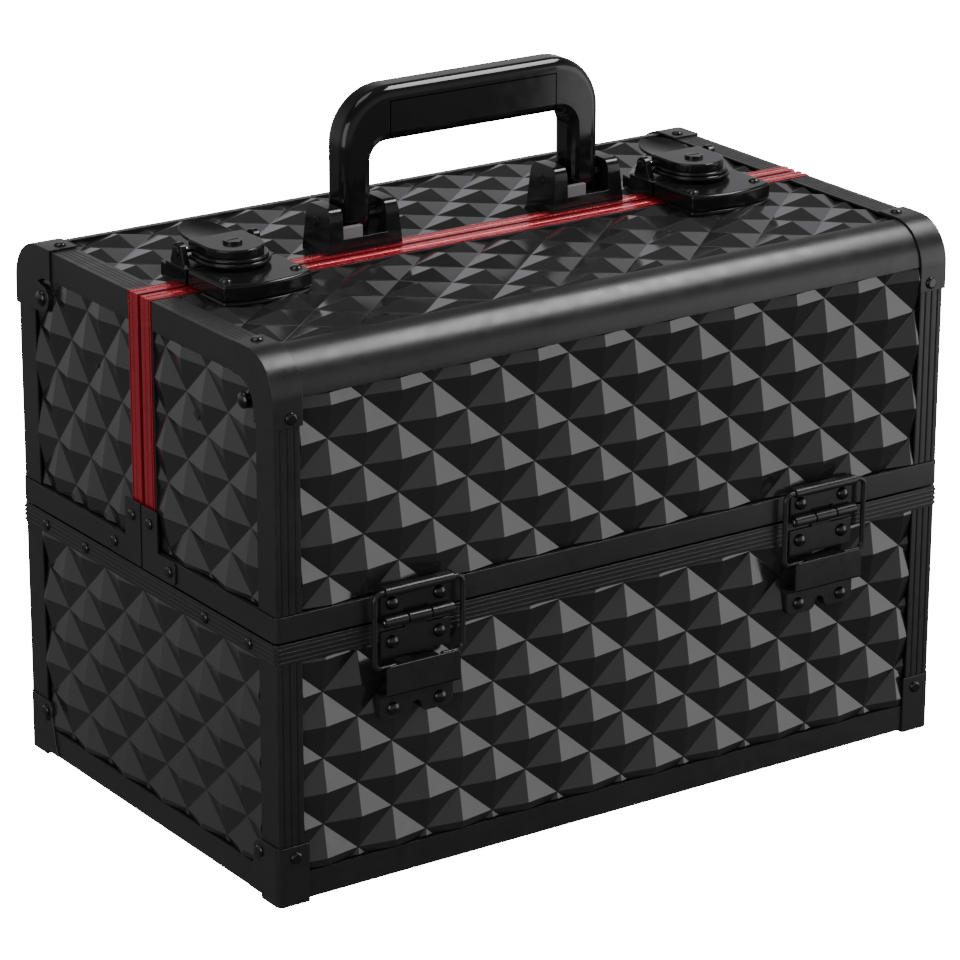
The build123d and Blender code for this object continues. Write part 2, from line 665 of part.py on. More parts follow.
save_pair(tray(LOWER_R), "lower_tray")
save_pair(tray(UPPER_R), "upper_tray")

# ======== latches ========
RED_FOOT = RED_WIDTH + SPLIT_GAP + TEE_GAP
FOOT_Z = (TOP - SKIN, TOP + RED_PROUD)

with BuildPart() as latch_bases:
    plate_edge = EDGE_Y - PLATE_GAP
    for _, x in LATCHES:
        left = x - PLATE_HALF
        right = x + PLATE_HALF
        with BuildSketch(Plane.XY.offset(TOP + RED_PROUD)):
            with BuildLine():
                Line((left, plate_edge), (left, PLATE_END))
                ThreePointArc((left, PLATE_END), (x, PLATE_BOW), (right, PLATE_END))
                Line((right, PLATE_END), (right, plate_edge))
                Line((right, plate_edge), (left, plate_edge))
            make_face()
        extrude(amount=PLATE_H - RED_PROUD)
    fillet(latch_bases.edges().filter_by(GeomType.CIRCLE).group_by(Axis.Z)[-1], PLATE_R)
    for _, x in LATCHES:
        block((x - PLATE_HALF, x + PLATE_HALF), (PLATE_END, -RED_FOOT), FOOT_Z)
latch_plates = latch_bases.part - lever_sweep.part
with BuildPart() as latch_plate_rivets:
    for _, x in LATCHES:
        for step in (-PLATE_RIVET[0], PLATE_RIVET[0]):
            head((x + step, PLATE_RIVET[1], TOP + PLATE_H), TOP_FACE, CORNER_RIVET_R)
save(latch_plates + latch_plate_rivets.part, "latch_bases")

with BuildPart() as latch_blocks:
    block_top = TOP + BLOCK_H
    block_y = (BLOCK_NEAR, BLOCK_FAR)
    lug_y = (LUG_NEAR, BLOCK_FAR)
    for _, x in LATCHES:
        block((x - PLATE_HALF, x + PLATE_HALF), block_y, (TOP + RED_PROUD, block_top))
        for way in (-1, 1):
            lug_x = sorted((x + way * LUG_INNER, x + way * LUG_OUTER))
            wing_x = sorted((x + way * LUG_OUTER, x + way * PLATE_HALF))
            block(lug_x, lug_y, (block_top, TOP + LUG_H))
            block(wing_x, block_y, (block_top, TOP + PLATE_H))
    fillet(latch_blocks.edges().filter_by(Axis.X).group_by(Axis.Z)[-1], LUG_R)
    for _, x in LATCHES:
        pocket_x = (x - LUG_INNER + GROOVE_D, x + LUG_INNER - GROOVE_D)
        block(pocket_x, lug_y, (block_top - BLOCK_POCKET, block_top), Mode.SUBTRACT)
        rod((x - PLATE_HALF, x + PLATE_HALF), LEVER_Y, LEVER_Z, LATCH_PIN_R + RUNNING, Mode.SUBTRACT)
        block((x - PLATE_HALF, x + PLATE_HALF), (RED_FOOT, BLOCK_FAR), FOOT_Z)
save(latch_blocks.part, "latch_blocks")

with BuildPart() as latch_pins:
    for _, x in LATCHES:
        rod((x - LATCH_PIN_HALF, x + LATCH_PIN_HALF), LEVER_Y, LEVER_Z, LATCH_PIN_R)
save(latch_pins.part, "latch_pins")


def latch_lever(x):
    """A D-shaped loop with a lock plate on it, a pivot barrel and a thumb tab."""
    left = x - LEVER_HALF
    right = x + LEVER_HALF
    with BuildPart() as lever:
        with BuildSketch(Plane.XY.offset(LEVER_LOW)):
            with BuildLine():
                Line((left, LEVER_BACK), (left, LEVER_SHOULDER))
                ThreePointArc((left, LEVER_SHOULDER), (x, LEVER_TIP), (right, LEVER_SHOULDER))
                Line((right, LEVER_SHOULDER), (right, LEVER_BACK))
                Line((right, LEVER_BACK), (left, LEVER_BACK))
            make_face()
            with Locations((x, LOOP_Y)):
                SlotCenterToCenter(LOOP_SPAN, LOOP_W, mode=Mode.SUBTRACT)
        extrude(amount=LEVER_T)
        with BuildSketch(Plane.XY.offset(LEVER_LOW + LEVER_T)):
            with Locations((x, LOCK_Y)):
                RectangleRounded(LOCK_W, LOCK_D, LOCK_R)
        extrude(amount=LOCK_H)
        block((x - NECK_HALF, x + NECK_HALF), (LEVER_BACK, LEVER_Y), (LEVER_LOW, LEVER_LOW + LEVER_T))
        rod((x - BARREL_HALF, x + BARREL_HALF), LEVER_Y, LEVER_Z, BARREL_R)
        with BuildSketch(Plane.XY.offset(LEVER_LOW + TAB_LIFT)):
            with Locations((x, (LEVER_Y + TAB_END) / 2)):
                RectangleRounded(TAB_W, TAB_END - LEVER_Y, TAB_R)
        extrude(amount=TAB_T)
        rod((left, right), LEVER_Y, LEVER_Z, LATCH_PIN_R + RUNNING, Mode.SUBTRACT)
        with Locations((x, PLUG_Y, LEVER_LOW)):
            Cylinder(PLUG_R + RUNNING, 2 * PLUG_H, mode=Mode.SUBTRACT)
    return lever.part


def key_plug(x):
    """A round lock cylinder with a keyway."""
    low = LEVER_LOW + PLUG_LIFT
    high = low + PLUG_H
    slot_y = (PLUG_Y - KEYWAY_W / 2, PLUG_Y + KEYWAY_W / 2)
    with BuildPart() as plug:
        with Locations((x, PLUG_Y, low)):
            Cylinder(PLUG_R, PLUG_H, align=(Align.CENTER, Align.CENTER, Align.MIN))
        block((x - KEYWAY_HALF, x + KEYWAY_HALF), slot_y, (high - KEYWAY_D, high), Mode.SUBTRACT)
    return plug.part


for side_name, latch_x in LATCHES:
    save(latch_lever(latch_x), f"{side_name}_latch_lever")
    save(key_plug(latch_x), f"{side_name}_key_plug")

# ======== handle ========
BRACKET_SPAN = (BRACKET_X - BRACKET_W / 2, BRACKET_X + BRACKET_W / 2)
PIN_HOLE = (BRACKET_SPAN[0] + HANDLE_PIN_IN, BRACKET_SPAN[1] - HANDLE_PIN_IN)

with BuildPart() as handle_brackets:
    low_y, high_y = BRACKET_Y
    fork_x = (BRACKET_X - FORK_W / 2, BRACKET_X + FORK_W / 2)
    fork_high = TOP + BRACKET_H
    block(BRACKET_SPAN, BRACKET_Y, (TOP + RED_PROUD, fork_high))
    fillet(handle_brackets.edges().filter_by(Axis.X).group_by(Axis.Z)[-1], BRACKET_R)
    fillet(handle_brackets.faces().sort_by(Axis.Z)[-1].edges(), BRACKET_EDGE_R)
    block(fork_x, (low_y + FORK_WALL, high_y), (TOP + FORK_FLOOR, fork_high), Mode.SUBTRACT)
    block(fork_x, (low_y, low_y + FORK_WALL), (TOP + FORK_SILL, fork_high), Mode.SUBTRACT)
    rod(PIN_HOLE, HANDLE_Y, HANDLE_PIVOT, HANDLE_PIN_R + RUNNING, Mode.SUBTRACT)
    block(BRACKET_SPAN, (RED_FOOT, high_y), FOOT_Z)
    mirror(about=Plane.YZ)
save(handle_brackets.part, "handle_brackets")

with BuildPart() as handle_pins:
    pin_span = (PIN_HOLE[0] + PIVOT_PLAY, PIN_HOLE[1] - PIVOT_PLAY)
    rod(pin_span, HANDLE_Y, HANDLE_PIVOT, HANDLE_PIN_R)
    mirror(about=Plane.YZ)
save(handle_pins.part, "handle_pins")

with BuildPart() as handle:
    leg_end = HANDLE_PIVOT - HANDLE_T / 2
    grip_low = HANDLE_TOP - HANDLE_GRIP
    leg_in = HANDLE_HALF - HANDLE_LEG
    turn_x = HANDLE_HALF - HANDLE_OUTER_R
    turn_z = HANDLE_TOP - HANDLE_OUTER_R
    bend_x = leg_in - HANDLE_INNER_R
    bend_z = grip_low - HANDLE_INNER_R
    with BuildSketch(Plane.XZ.offset(-HANDLE_Y)):
        with BuildLine():
            Line((-HANDLE_HALF, leg_end), (-HANDLE_HALF, turn_z))
            RadiusArc((-HANDLE_HALF, turn_z), (-turn_x, HANDLE_TOP), HANDLE_OUTER_R)
            Line((-turn_x, HANDLE_TOP), (turn_x, HANDLE_TOP))
            RadiusArc((turn_x, HANDLE_TOP), (HANDLE_HALF, turn_z), HANDLE_OUTER_R)
            Line((HANDLE_HALF, turn_z), (HANDLE_HALF, leg_end))
            Line((HANDLE_HALF, leg_end), (leg_in, leg_end))
            Line((leg_in, leg_end), (leg_in, bend_z))
            RadiusArc((leg_in, bend_z), (bend_x, grip_low), -HANDLE_INNER_R)
            Line((bend_x, grip_low), (-bend_x, grip_low))
            RadiusArc((-bend_x, grip_low), (-leg_in, bend_z), -HANDLE_INNER_R)
            Line((-leg_in, bend_z), (-leg_in, leg_end))
            Line((-leg_in, leg_end), (-HANDLE_HALF, leg_end))
        make_face()
    extrude(amount=HANDLE_T / 2, both=True)
    foot_edges = handle.edges().filter_by(Axis.X).group_by(Axis.Z)[0]
    fillet(foot_edges, HANDLE_T / 2 - RUNNING)
    for span in (BRACKET_SPAN, (-BRACKET_SPAN[1], -BRACKET_SPAN[0])):
        rod(span, HANDLE_Y, HANDLE_PIVOT, HANDLE_PIN_R + RUNNING, Mode.SUBTRACT)
save(handle.part, "handle")
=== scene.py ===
"""The looks of the makeup train case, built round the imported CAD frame.

Metres, in the row's frame: +X along the long side, the front lid towards -Y, the floor at z = 0.
Lengths are written in millimetres times MM. A half is the front or the rear one, and way is its sign
along Y. A hand is the left or the right one, and side is its sign along X.
"""
import json
from math import cos, hypot, pi, radians, sin, sqrt

import bmesh
import bpy
from mathutils import Matrix, Vector

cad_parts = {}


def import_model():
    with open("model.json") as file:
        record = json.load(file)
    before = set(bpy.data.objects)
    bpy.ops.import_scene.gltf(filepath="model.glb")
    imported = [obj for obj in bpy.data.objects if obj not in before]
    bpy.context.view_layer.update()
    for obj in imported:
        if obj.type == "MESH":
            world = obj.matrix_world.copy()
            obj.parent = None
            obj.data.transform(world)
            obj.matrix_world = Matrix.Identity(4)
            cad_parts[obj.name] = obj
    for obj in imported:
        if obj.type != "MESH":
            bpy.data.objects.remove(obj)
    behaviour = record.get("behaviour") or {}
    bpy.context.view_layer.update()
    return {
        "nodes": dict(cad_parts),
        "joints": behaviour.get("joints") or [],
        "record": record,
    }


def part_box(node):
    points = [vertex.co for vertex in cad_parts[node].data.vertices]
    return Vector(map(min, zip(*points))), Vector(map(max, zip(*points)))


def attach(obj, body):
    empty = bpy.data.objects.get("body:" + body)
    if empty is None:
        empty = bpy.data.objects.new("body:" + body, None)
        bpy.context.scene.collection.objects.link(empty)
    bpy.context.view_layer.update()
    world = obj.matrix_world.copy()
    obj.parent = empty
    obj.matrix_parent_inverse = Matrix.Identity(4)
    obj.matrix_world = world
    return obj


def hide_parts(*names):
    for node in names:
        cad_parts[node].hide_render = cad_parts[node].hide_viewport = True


MM = 0.001
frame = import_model()
JOINTS = {joint["name"]: joint for joint in frame["joints"]}
HALVES = (("front", -1), ("rear", 1))
HANDS = (("left", -1), ("right", 1))
SIDES = (-1, 1)

# ======== sizes read from the frame ========
# HALF_W, HALF_D and TOP are the outer faces of the boards. The base's boards stand between BASE_LOW and
# BASE_BAND_LOW, and the lids' between LID_BAND_TOP and the rounded edge profile at EDGE_Z and EDGE_Y.
HALF_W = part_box("base_bottom_profile")[1].x
HALF_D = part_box("base_bottom_profile")[1].y
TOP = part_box("front_lid_end_trims")[1].z
SEAM = JOINTS["front_lid_hinge"]["pos_m"][2]
AXIS_Y = JOINTS["rear_lid_hinge"]["pos_m"][1]
BASE_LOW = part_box("base_bottom_profile")[1].z
BASE_BAND_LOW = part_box("base_rim")[0].z
LID_BAND_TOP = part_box("front_lid_rim")[1].z
SKIN = HALF_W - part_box("base_end_panels")[1].x
EDGE_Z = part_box("front_lid_edge_profile")[0].z
EDGE_Y = -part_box("front_lid_edge_profile")[1].y
RED_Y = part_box("rear_lid_split_profile")[1].y
LATCH_X = [JOINTS[f"{hand}_latch_pivot"]["pos_m"][0] for hand, _ in HANDS]

# ======== sizes that several pieces share ========
# POST_X and POST_Y are the posts' inner edges, and END_TOP is where the lids' end boards end. The
# fittings on the top lie on the ribs of the red strips, at STRIP_TOP, and beside the strips their feet
# reach down to the board between the diamonds, at FOOT_LOW.
POST_X = HALF_W - 13 * MM
POST_Y = -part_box("base_posts")[0].y - 14.5 * MM
END_TOP = TOP - 13.5 * MM
HINGES = (-112.6 * MM, 112.6 * MM)
STRIP_TOP = TOP + 0.3 * MM
FOOT_TOP = TOP + 0.4 * MM
FOOT_LOW = TOP - 2.9 * MM
FOOT_GAP = 0.3 * MM
LEAF_FACE = HALF_D + 2 * MM
STAY_FOOT_FACE = HALF_D + 2.6 * MM

# ======== materials ========
TONE_NOISE = (18, 5)
ROUGH_NOISE = (162, 6)
GRAIN_DETAIL = 3
GRAIN_DEPTH = 0.4 * MM
COAT_ROUGHNESS = 0.08
NOISE_LOW, NOISE_HIGH = 0.3, 0.7


class Nodes:
    """A short way to add and join shader nodes of one material."""

    def __init__(self, name):
        self.material = bpy.data.materials.new(name)
        self.material.use_nodes = True
        self.tree = self.material.node_tree
        self.shader = self.tree.nodes["Principled BSDF"]
        self.coordinates = self.tree.nodes.new("ShaderNodeTexCoord").outputs["Object"]

    def fill(self, node, **sockets):
        """Set a node's sockets by name; a value that is an output is linked."""
        for name, value in sockets.items():
            socket = node.inputs[name.replace("_", " ")]
            if isinstance(value, bpy.types.NodeSocket):
                self.tree.links.new(value, socket)
            else:
                socket.default_value = value

    def add(self, kind, **sockets):
        """A node of that kind with its sockets filled."""
        node = self.tree.nodes.new("ShaderNode" + kind)
        self.fill(node, **sockets)
        return node

    def noise(self, scale, detail):
        """Noise in the object's space."""
        return self.add("TexNoise", Vector=self.coordinates, Scale=scale, Detail=detail).outputs["Fac"]

    def between(self, factor, low, high):
        """Spread a noise factor over the range from low to high."""
        return self.add("MapRange", Value=factor, From_Min=NOISE_LOW, From_Max=NOISE_HIGH,
                        To_Min=low, To_Max=high).outputs[0]

    def blend(self, factor, first, second):
        """Mix two colours by a factor."""
        mix = self.add("Mix")
        mix.data_type = "RGBA"
        self.fill(mix, Factor=factor, A=first, B=second)
        return mix.outputs["Result"]


def grey(value):
    """A neutral colour with a trace of blue."""
    return (value, value, value * 1.03, 1)


def surface(name, dark, light, rough, metallic=0.0, grain=(900, 0.06), coat=0.0, specular=0.5):
    """A finished surface: two tones, roughness that varies, and a fine grain.

    dark and light are the two colours, rough is the low and high roughness, and grain is the scale and
    the strength of the fine bump.
    """
    nodes = Nodes(name)
    grain_scale, grain_strength = grain
    tone = nodes.between(nodes.noise(*TONE_NOISE), 0.0, 1.0)
    bump = nodes.add("Bump", Strength=grain_strength, Distance=GRAIN_DEPTH,
                     Height=nodes.noise(grain_scale, GRAIN_DETAIL))
    nodes.fill(nodes.shader, Base_Color=nodes.blend(tone, dark, light),
               Roughness=nodes.between(nodes.noise(*ROUGH_NOISE), *rough), Metallic=metallic,
               Coat_Weight=coat, Coat_Roughness=COAT_ROUGHNESS, Specular_IOR_Level=specular,
               Normal=bump.outputs[0])
    return nodes.material


BOARD = surface("black_abs", grey(0.016), grey(0.022), (0.11, 0.17), grain=(500, 0.012))
PROFILE = surface("black_anodised", grey(0.012), grey(0.019), (0.28, 0.38), 0.2, (2200, 0.05))
RED = surface("red_anodised", (0.40, 0.013, 0.025, 1), (0.52, 0.018, 0.036, 1), (0.24, 0.32), 0.7,
              (2200, 0.03), coat=0.5)
STEEL = surface("black_steel", grey(0.011), grey(0.017), (0.26, 0.34), grain=(1400, 0.02), specular=0.35)
ARM = surface("arm_steel", grey(0.020), grey(0.035), (0.28, 0.42), 0.3, (1400, 0.08))
PIN = surface("pin_steel", grey(0.32), grey(0.45), (0.22, 0.36), 1.0, (1600, 0.06))
HANDLE = surface("handle_plastic", grey(0.005), grey(0.008), (0.06, 0.10), grain=(1500, 0.004),
                 specular=0.32)
BRACKET = surface("bracket_plastic", grey(0.007), grey(0.011), (0.10, 0.16), grain=(1500, 0.006),
                  specular=0.3)
LEVER = surface("lever_enamel", grey(0.006), grey(0.009), (0.10, 0.17), grain=(1500, 0.006),
                specular=0.25)
LATCH = surface("latch_enamel", grey(0.006), grey(0.009), (0.12, 0.19), grain=(1500, 0.006),
                specular=0.25)
LOCK = surface("lock_black_chrome", grey(0.03), grey(0.05), (0.14, 0.22), 0.9, (1600, 0.03))
TRAY = surface("tray_plastic", grey(0.022), grey(0.034), (0.42, 0.58), grain=(1500, 0.30))
FLOOR_BOARD = surface("bottom_board", grey(0.020), grey(0.034), (0.5, 0.66), grain=(1100, 0.3))
RUBBER = surface("foot_rubber", grey(0.018), grey(0.030), (0.55, 0.72), grain=(1300, 0.25))
CAP = surface("black_satin_steel", grey(0.014), grey(0.020), (0.27, 0.36), 0.2, (2200, 0.04))
RIVET = surface("black_rivet", grey(0.004), grey(0.007), (0.14, 0.20), grain=(2200, 0.005))
# A light grey finish for the blocks set inside the bracket forks.
LIGHT_GREY = surface("grey_nylon", grey(0.16), grey(0.20), (0.40, 0.55), grain=(1500, 0.05))
# Painted shade: a near-black finish that does not reflect, for the groove round the grip's panel.
PAINTED_SHADE = surface("shadow_gap", grey(0.001), grey(0.002), (0.9, 1.0), specular=0.0)

SLOTS = {
    "black_board": BOARD, "black_profile": PROFILE, "red_profile": RED, "black_steel": STEEL,
    "arm_steel": ARM, "pin_steel": PIN, "handle_plastic": HANDLE, "bracket_plastic": BRACKET,
    "lever_steel": LEVER, "lock_chrome": LOCK, "tray_plastic": TRAY, "bottom_board": FLOOR_BOARD,
    "foot_rubber": RUBBER,
}
NODE_SLOT = {part["node"]: part["material_slot"] for part in frame["record"]["subparts"]}
BODY_OF = {node: body for body, nodes in frame["record"]["behaviour"]["bodies"].items() for node in nodes}


def finish_of(node):
    """The finish of a CAD node: its slot's, but glossier on rivets and satin on the corner caps."""
    if "rivets" in node:
        return RIVET
    if "cap" in node or "protector" in node:
        return CAP
    if node in ("latch_bases", "latch_blocks"):
        return LATCH
    return SLOTS[NODE_SLOT[node]]


for node_name, node in frame["nodes"].items():
    node.data.materials.clear()
    node.data.materials.append(finish_of(node_name))

# ======== making pieces ========
REPLACED = set()
LOOSE_POINTS = 0.004 * MM
FLAT_TURN = radians(1)
STUD_ROOT, STUD_RIM = 0.6 * MM, 0.15 * MM
X_AXIS, Y_AXIS, Z_AXIS = range(3)
RIGHT, BACK, UP = Vector((1, 0, 0)), Vector((0, 1, 0)), Vector((0, 0, 1))


def piece(name, shape, node, *replaced, edge, segments=2, angle=35, finish=None):
    """Turn a bmesh into a piece with the body and the finish of a CAD node.

    It stands for the nodes in replaced. Edges that turn by more than angle degrees are rounded by edge.
    """
    bmesh.ops.recalc_face_normals(shape, faces=shape.faces[:])
    mesh = bpy.data.meshes.new(name)
    shape.to_mesh(mesh)
    shape.free()
    mesh.materials.append(finish or finish_of(node))
    mesh.shade_smooth()
    made = bpy.data.objects.new(name, mesh)
    bpy.context.scene.collection.objects.link(made)
    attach(made, BODY_OF[node])
    if replaced:
        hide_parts(*replaced)
        REPLACED.update(replaced)
    bevel = made.modifiers.new("edges", "BEVEL")
    bevel.width = edge
    bevel.segments = segments
    bevel.limit_method = "ANGLE"
    bevel.angle_limit = radians(angle)
    flat = made.modifiers.new("flat_faces", "WEIGHTED_NORMAL")
    flat.keep_sharp = True
    return made


def refined(node):
    """A copy of a CAD node with clean flat faces and rounded edges, standing for it."""
    shape = bmesh.new()
    shape.from_mesh(frame["nodes"][node].data)
    bmesh.ops.remove_doubles(shape, verts=shape.verts[:], dist=LOOSE_POINTS)
    bmesh.ops.dissolve_limit(shape, angle_limit=FLAT_TURN, verts=shape.verts[:], edges=shape.edges[:])
    return piece("look_" + node, shape, node, node, edge=0.25 * MM)


def loft(shape, rings):
    """Skin the solid through rings of points, closed at both ends."""
    rings = [[shape.verts.new(point) for point in ring] for ring in rings]
    for low, high in zip(rings, rings[1:]):
        for first, second, third, fourth in zip(low, low[1:] + low[:1], high[1:] + high[:1], high):
            shape.faces.new((first, second, third, fourth))
    shape.faces.new(rings[0][::-1])
    shape.faces.new(rings[-1])


def arc(centre, radius, start, end, steps):
    """Points along an arc, from a start to an end angle in degrees."""
    turns = [radians(start + (end - start) * step / steps) for step in range(steps + 1)]
    return [(centre[0] + radius * cos(turn), centre[1] + radius * sin(turn)) for turn in turns]


def rectangle(u, v):
    """A rectangle's corners, anticlockwise."""
    return [(u[0], v[0]), (u[1], v[0]), (u[1], v[1]), (u[0], v[1])]


def plate(shape, outline, heights):
    """The solid over an outline in the XY plane, between two heights."""
    loft(shape, [[(x, y, z) for x, y in outline] for z in heights])


def web(shape, outline, ends):
    """The solid of an outline in the YZ plane, between two X positions."""
    loft(shape, [[(x, y, z) for y, z in outline] for x in ends])


def slab(shape, outline, faces):
    """The solid of an outline in the XZ plane, between two Y positions."""
    loft(shape, [[(x, y, z) for x, z in outline] for y in faces])


def lathe(shape, profile, centre, axis, steps=24):
    """A turned solid; profile is radius and height pairs, the height along axis from centre."""
    across = axis.orthogonal().normalized()
    other = axis.cross(across)
    turns = [2 * pi * step / steps for step in range(steps)]
    loft(shape, [[centre + axis * height + (across * cos(turn) + other * sin(turn)) * radius
                  for turn in turns] for radius, height in profile])


def rod(shape, radius, length, start, axis, steps=24):
    """A round bar from start along axis."""
    lathe(shape, [(radius, 0), (radius, length)], start, axis, steps)


def stud(shape, centre, out, radius, height):
    """A domed rivet head standing on a face."""
    turns = [radians(turn) for turn in range(12, 85, 12)]
    dome = [(radius * cos(turn), STUD_RIM + height * sin(turn)) for turn in turns]
    lathe(shape, [(radius, -STUD_ROOT), (radius, STUD_RIM)] + dome, centre, out, 32)


def stud_piece(name, shape, node):
    """Turn a bmesh of rivet heads into a piece that rides with a CAD node."""
    piece(name, shape, node, edge=0.05 * MM, segments=1, angle=60, finish=RIVET)


# ======== diamond relief ========
RIDGE = 0.8 * MM
VALLEY = -2.3 * MM
SUNK = 1.6 * MM
MARGIN = 0.3 * MM
MERGE = 0.02 * MM
END_CORNER = 13 * MM
OUTER_FACE = 0.05 * MM
# The front lid turns under the latch levers: each covers LEVER_HALF to both sides of its middle, and
# LEVER_FRONT and LEVER_UNDER are the place of the edge that the lid has to pass.
LEVER_HALF = 22.5 * MM
LEVER_FRONT = 19 * MM
LEVER_UNDER = TOP + 11.5 * MM
LEVER_PLAY = 0.9 * MM

# A field is the apex of one pyramid and half of the pyramids' width and height.
WIDE = (17.9 * MM, 15.6 * MM)
SQUAT = (17.3 * MM, 15.7 * MM)
TALL = (14.8 * MM, 17.4 * MM)
BASE_FIELD = ((-158.3 * MM, 83.2 * MM), WIDE)
LID_FIELD = ((-154.5 * MM, 198.1 * MM), WIDE)
TOP_FIELD = ((-36.4 * MM, -22.8 * MM), WIDE)
BASE_END_FIELD = ((-10.8 * MM, 82.6 * MM), SQUAT)
END_FIELDS = {"front": ((-52.4 * MM, 219.4 * MM), SQUAT), "rear": ((-50.8 * MM, 216.1 * MM), TALL)}
SPAN_X = (-POST_X + MARGIN, POST_X - MARGIN)
SPAN_Y = (-POST_Y + MARGIN, POST_Y - MARGIN)
HALF_SPAN_Y = (-POST_Y + MARGIN, -RED_Y - MARGIN)
TOP_SPAN_Y = (-EDGE_Y + MARGIN, -RED_Y - MARGIN)
BASE_Z = (BASE_LOW + MARGIN, BASE_BAND_LOW - MARGIN)
LID_Z = (LID_BAND_TOP + MARGIN, EDGE_Z - MARGIN)
END_Z = (LID_BAND_TOP + MARGIN, END_TOP - MARGIN)


def clip(polygon, first, second):
    """The part of a polygon on the left of the line from first to second; heights are interpolated."""
    along_u, along_v = second[0] - first[0], second[1] - first[1]
    kept = []
    for here, after in zip(polygon, polygon[1:] + polygon[:1]):
        side = along_u * (here[1] - first[1]) - along_v * (here[0] - first[0])
        next_side = along_u * (after[1] - first[1]) - along_v * (after[0] - first[0])
        if side >= 0:
            kept.append(here)
        if (side > 0 > next_side) or (side < 0 < next_side):
            share = side / (side - next_side)
            kept.append(tuple(a + share * (b - a) for a, b in zip(here, after)))
    return kept


def apexes(outline, field):
    """Where the pyramids of a field stand that may reach into an outline."""
    (start_u, start_v), (half_u, half_v) = field
    low_u, high_u = min(p[0] for p in outline), max(p[0] for p in outline)
    low_v, high_v = min(p[1] for p in outline), max(p[1] for p in outline)
    for row in range(int((low_v - start_v) / half_v) - 2, int((high_v - start_v) / half_v) + 3):
        for column in range(int((low_u - start_u) / half_u) - 2, int((high_u - start_u) / half_u) + 3):
            if (row + column) % 2 == 0:
                yield start_u + column * half_u, start_v + row * half_v


def facets(outline, field):
    """The facets of a field of pyramids, clipped to a convex outline, as (u, v, height) points."""
    half_u, half_v = field[1]
    for u, v in apexes(outline, field):
        rim = [(u + half_u, v, VALLEY), (u, v + half_v, VALLEY), (u - half_u, v, VALLEY),
               (u, v - half_v, VALLEY)]
        for corner, following in zip(rim, rim[1:] + rim[:1]):
            polygon = [(u, v, RIDGE), corner, following]
            for first, second in zip(outline, outline[1:] + outline[:1]):
                polygon = clip(polygon, first, second)
            if len(polygon) > 2:
                yield polygon


def relief(name, node, outline, field, place):
    """A pressed diamond skin on a board. place turns (u, v, height) into a point of the frame."""
    shape = bmesh.new()
    for polygon in facets(outline, field):
        shape.faces.new([shape.verts.new(place(*point)) for point in polygon])
    bmesh.ops.remove_doubles(shape, verts=shape.verts[:], dist=MERGE)
    bmesh.ops.dissolve_degenerate(shape, dist=MERGE, edges=shape.edges[:])
    bmesh.ops.recalc_face_normals(shape, faces=shape.faces[:])
    rim = [edge for edge in shape.edges if edge.is_boundary]
    walls = bmesh.ops.extrude_edge_only(shape, edges=rim)["geom"]
    inward = (place(0, 0, 0) - place(0, 0, SKIN)).normalized()
    for vert in [item for item in walls if isinstance(item, bmesh.types.BMVert)]:
        depth = (vert.co - place(0, 0, 0)).dot(inward)
        vert.co = vert.co + inward * (SKIN + SUNK - depth)
    bmesh.ops.contextual_create(shape, geom=[edge for edge in shape.edges if edge.is_boundary])
    piece(name, shape, node, edge=0.28 * MM, angle=4)


def rounded_corner(u, v, radius):
    """A rectangle whose corner at low u and high v is an arc."""
    return rectangle(u, v)[:3] + arc((u[0] + radius, v[1] - radius), radius, 90, 180, 10)


def swept(point):
    """Lower a point of the front lid's top to clear the latch lever when the lid opens."""
    if point.y > 0 or min(abs(point.x - x) for x in LATCH_X) > LEVER_HALF:
        return point
    reach = hypot(AXIS_Y - LEVER_FRONT, LEVER_UNDER - SEAM) - LEVER_PLAY
    limit = SEAM + sqrt(reach ** 2 - (AXIS_Y + point.y) ** 2)
    return Vector((point.x, point.y, min(point.z, limit)))


def on_long_side(way):
    """Places (u, v, height) on the front or the rear."""
    return lambda u, v, height: Vector((u, way * (HALF_D + height), v))


def on_end(side, way=-1):
    """Places (u, v, height) on an end; u is the place along Y in the front half, mirrored in the rear."""
    return lambda u, v, height: Vector((side * (HALF_W + height), -way * u, v))


def on_top(way):
    """Places (u, v, height) on the top of a lid; v is the place along Y in front, mirrored behind."""
    return lambda u, v, height: swept(Vector((u, -way * v, TOP + height)))


for half, way in HALVES:
    relief(f"{half}_base_diamonds", f"{half}_base_panel", rectangle(SPAN_X, BASE_Z), BASE_FIELD,
           on_long_side(way))
    relief(f"{half}_lid_diamonds", f"{half}_lid_panel", rectangle(SPAN_X, LID_Z), LID_FIELD,
           on_long_side(way))
    relief(f"{half}_top_diamonds", f"{half}_lid_top_panel", rectangle(SPAN_X, TOP_SPAN_Y), TOP_FIELD,
           on_top(way))
    for hand, side in HANDS:
        relief(f"{half}_{hand}_lid_end_diamonds", f"{half}_lid_end_panels",
               rounded_corner(HALF_SPAN_Y, END_Z, END_CORNER), END_FIELDS[half], on_end(side, way))
for hand, side in HANDS:
    relief(f"{hand}_base_end_diamonds", "base_end_panels", rectangle(SPAN_Y, BASE_Z), BASE_END_FIELD,
           on_end(side))


def sunk(node, axis):
    """A copy of a board whose outer face is set back under its pressed skin."""
    shape = bmesh.new()
    shape.from_mesh(frame["nodes"][node].data)
    reach = (HALF_W, HALF_D, TOP)[axis] - SKIN
    for vert in shape.verts:
        if abs(vert.co[axis]) > reach - OUTER_FACE:
            vert.co[axis] -= SUNK if vert.co[axis] > 0 else -SUNK
    piece("board_" + node, shape, node, node, edge=0.2 * MM)


sunk("base_end_panels", X_AXIS)
for half, _ in HALVES:
    sunk(half + "_base_panel", Y_AXIS)
    sunk(half + "_lid_panel", Y_AXIS)
    sunk(half + "_lid_end_panels", X_AXIS)
    sunk(half + "_lid_top_panel", Z_AXIS)

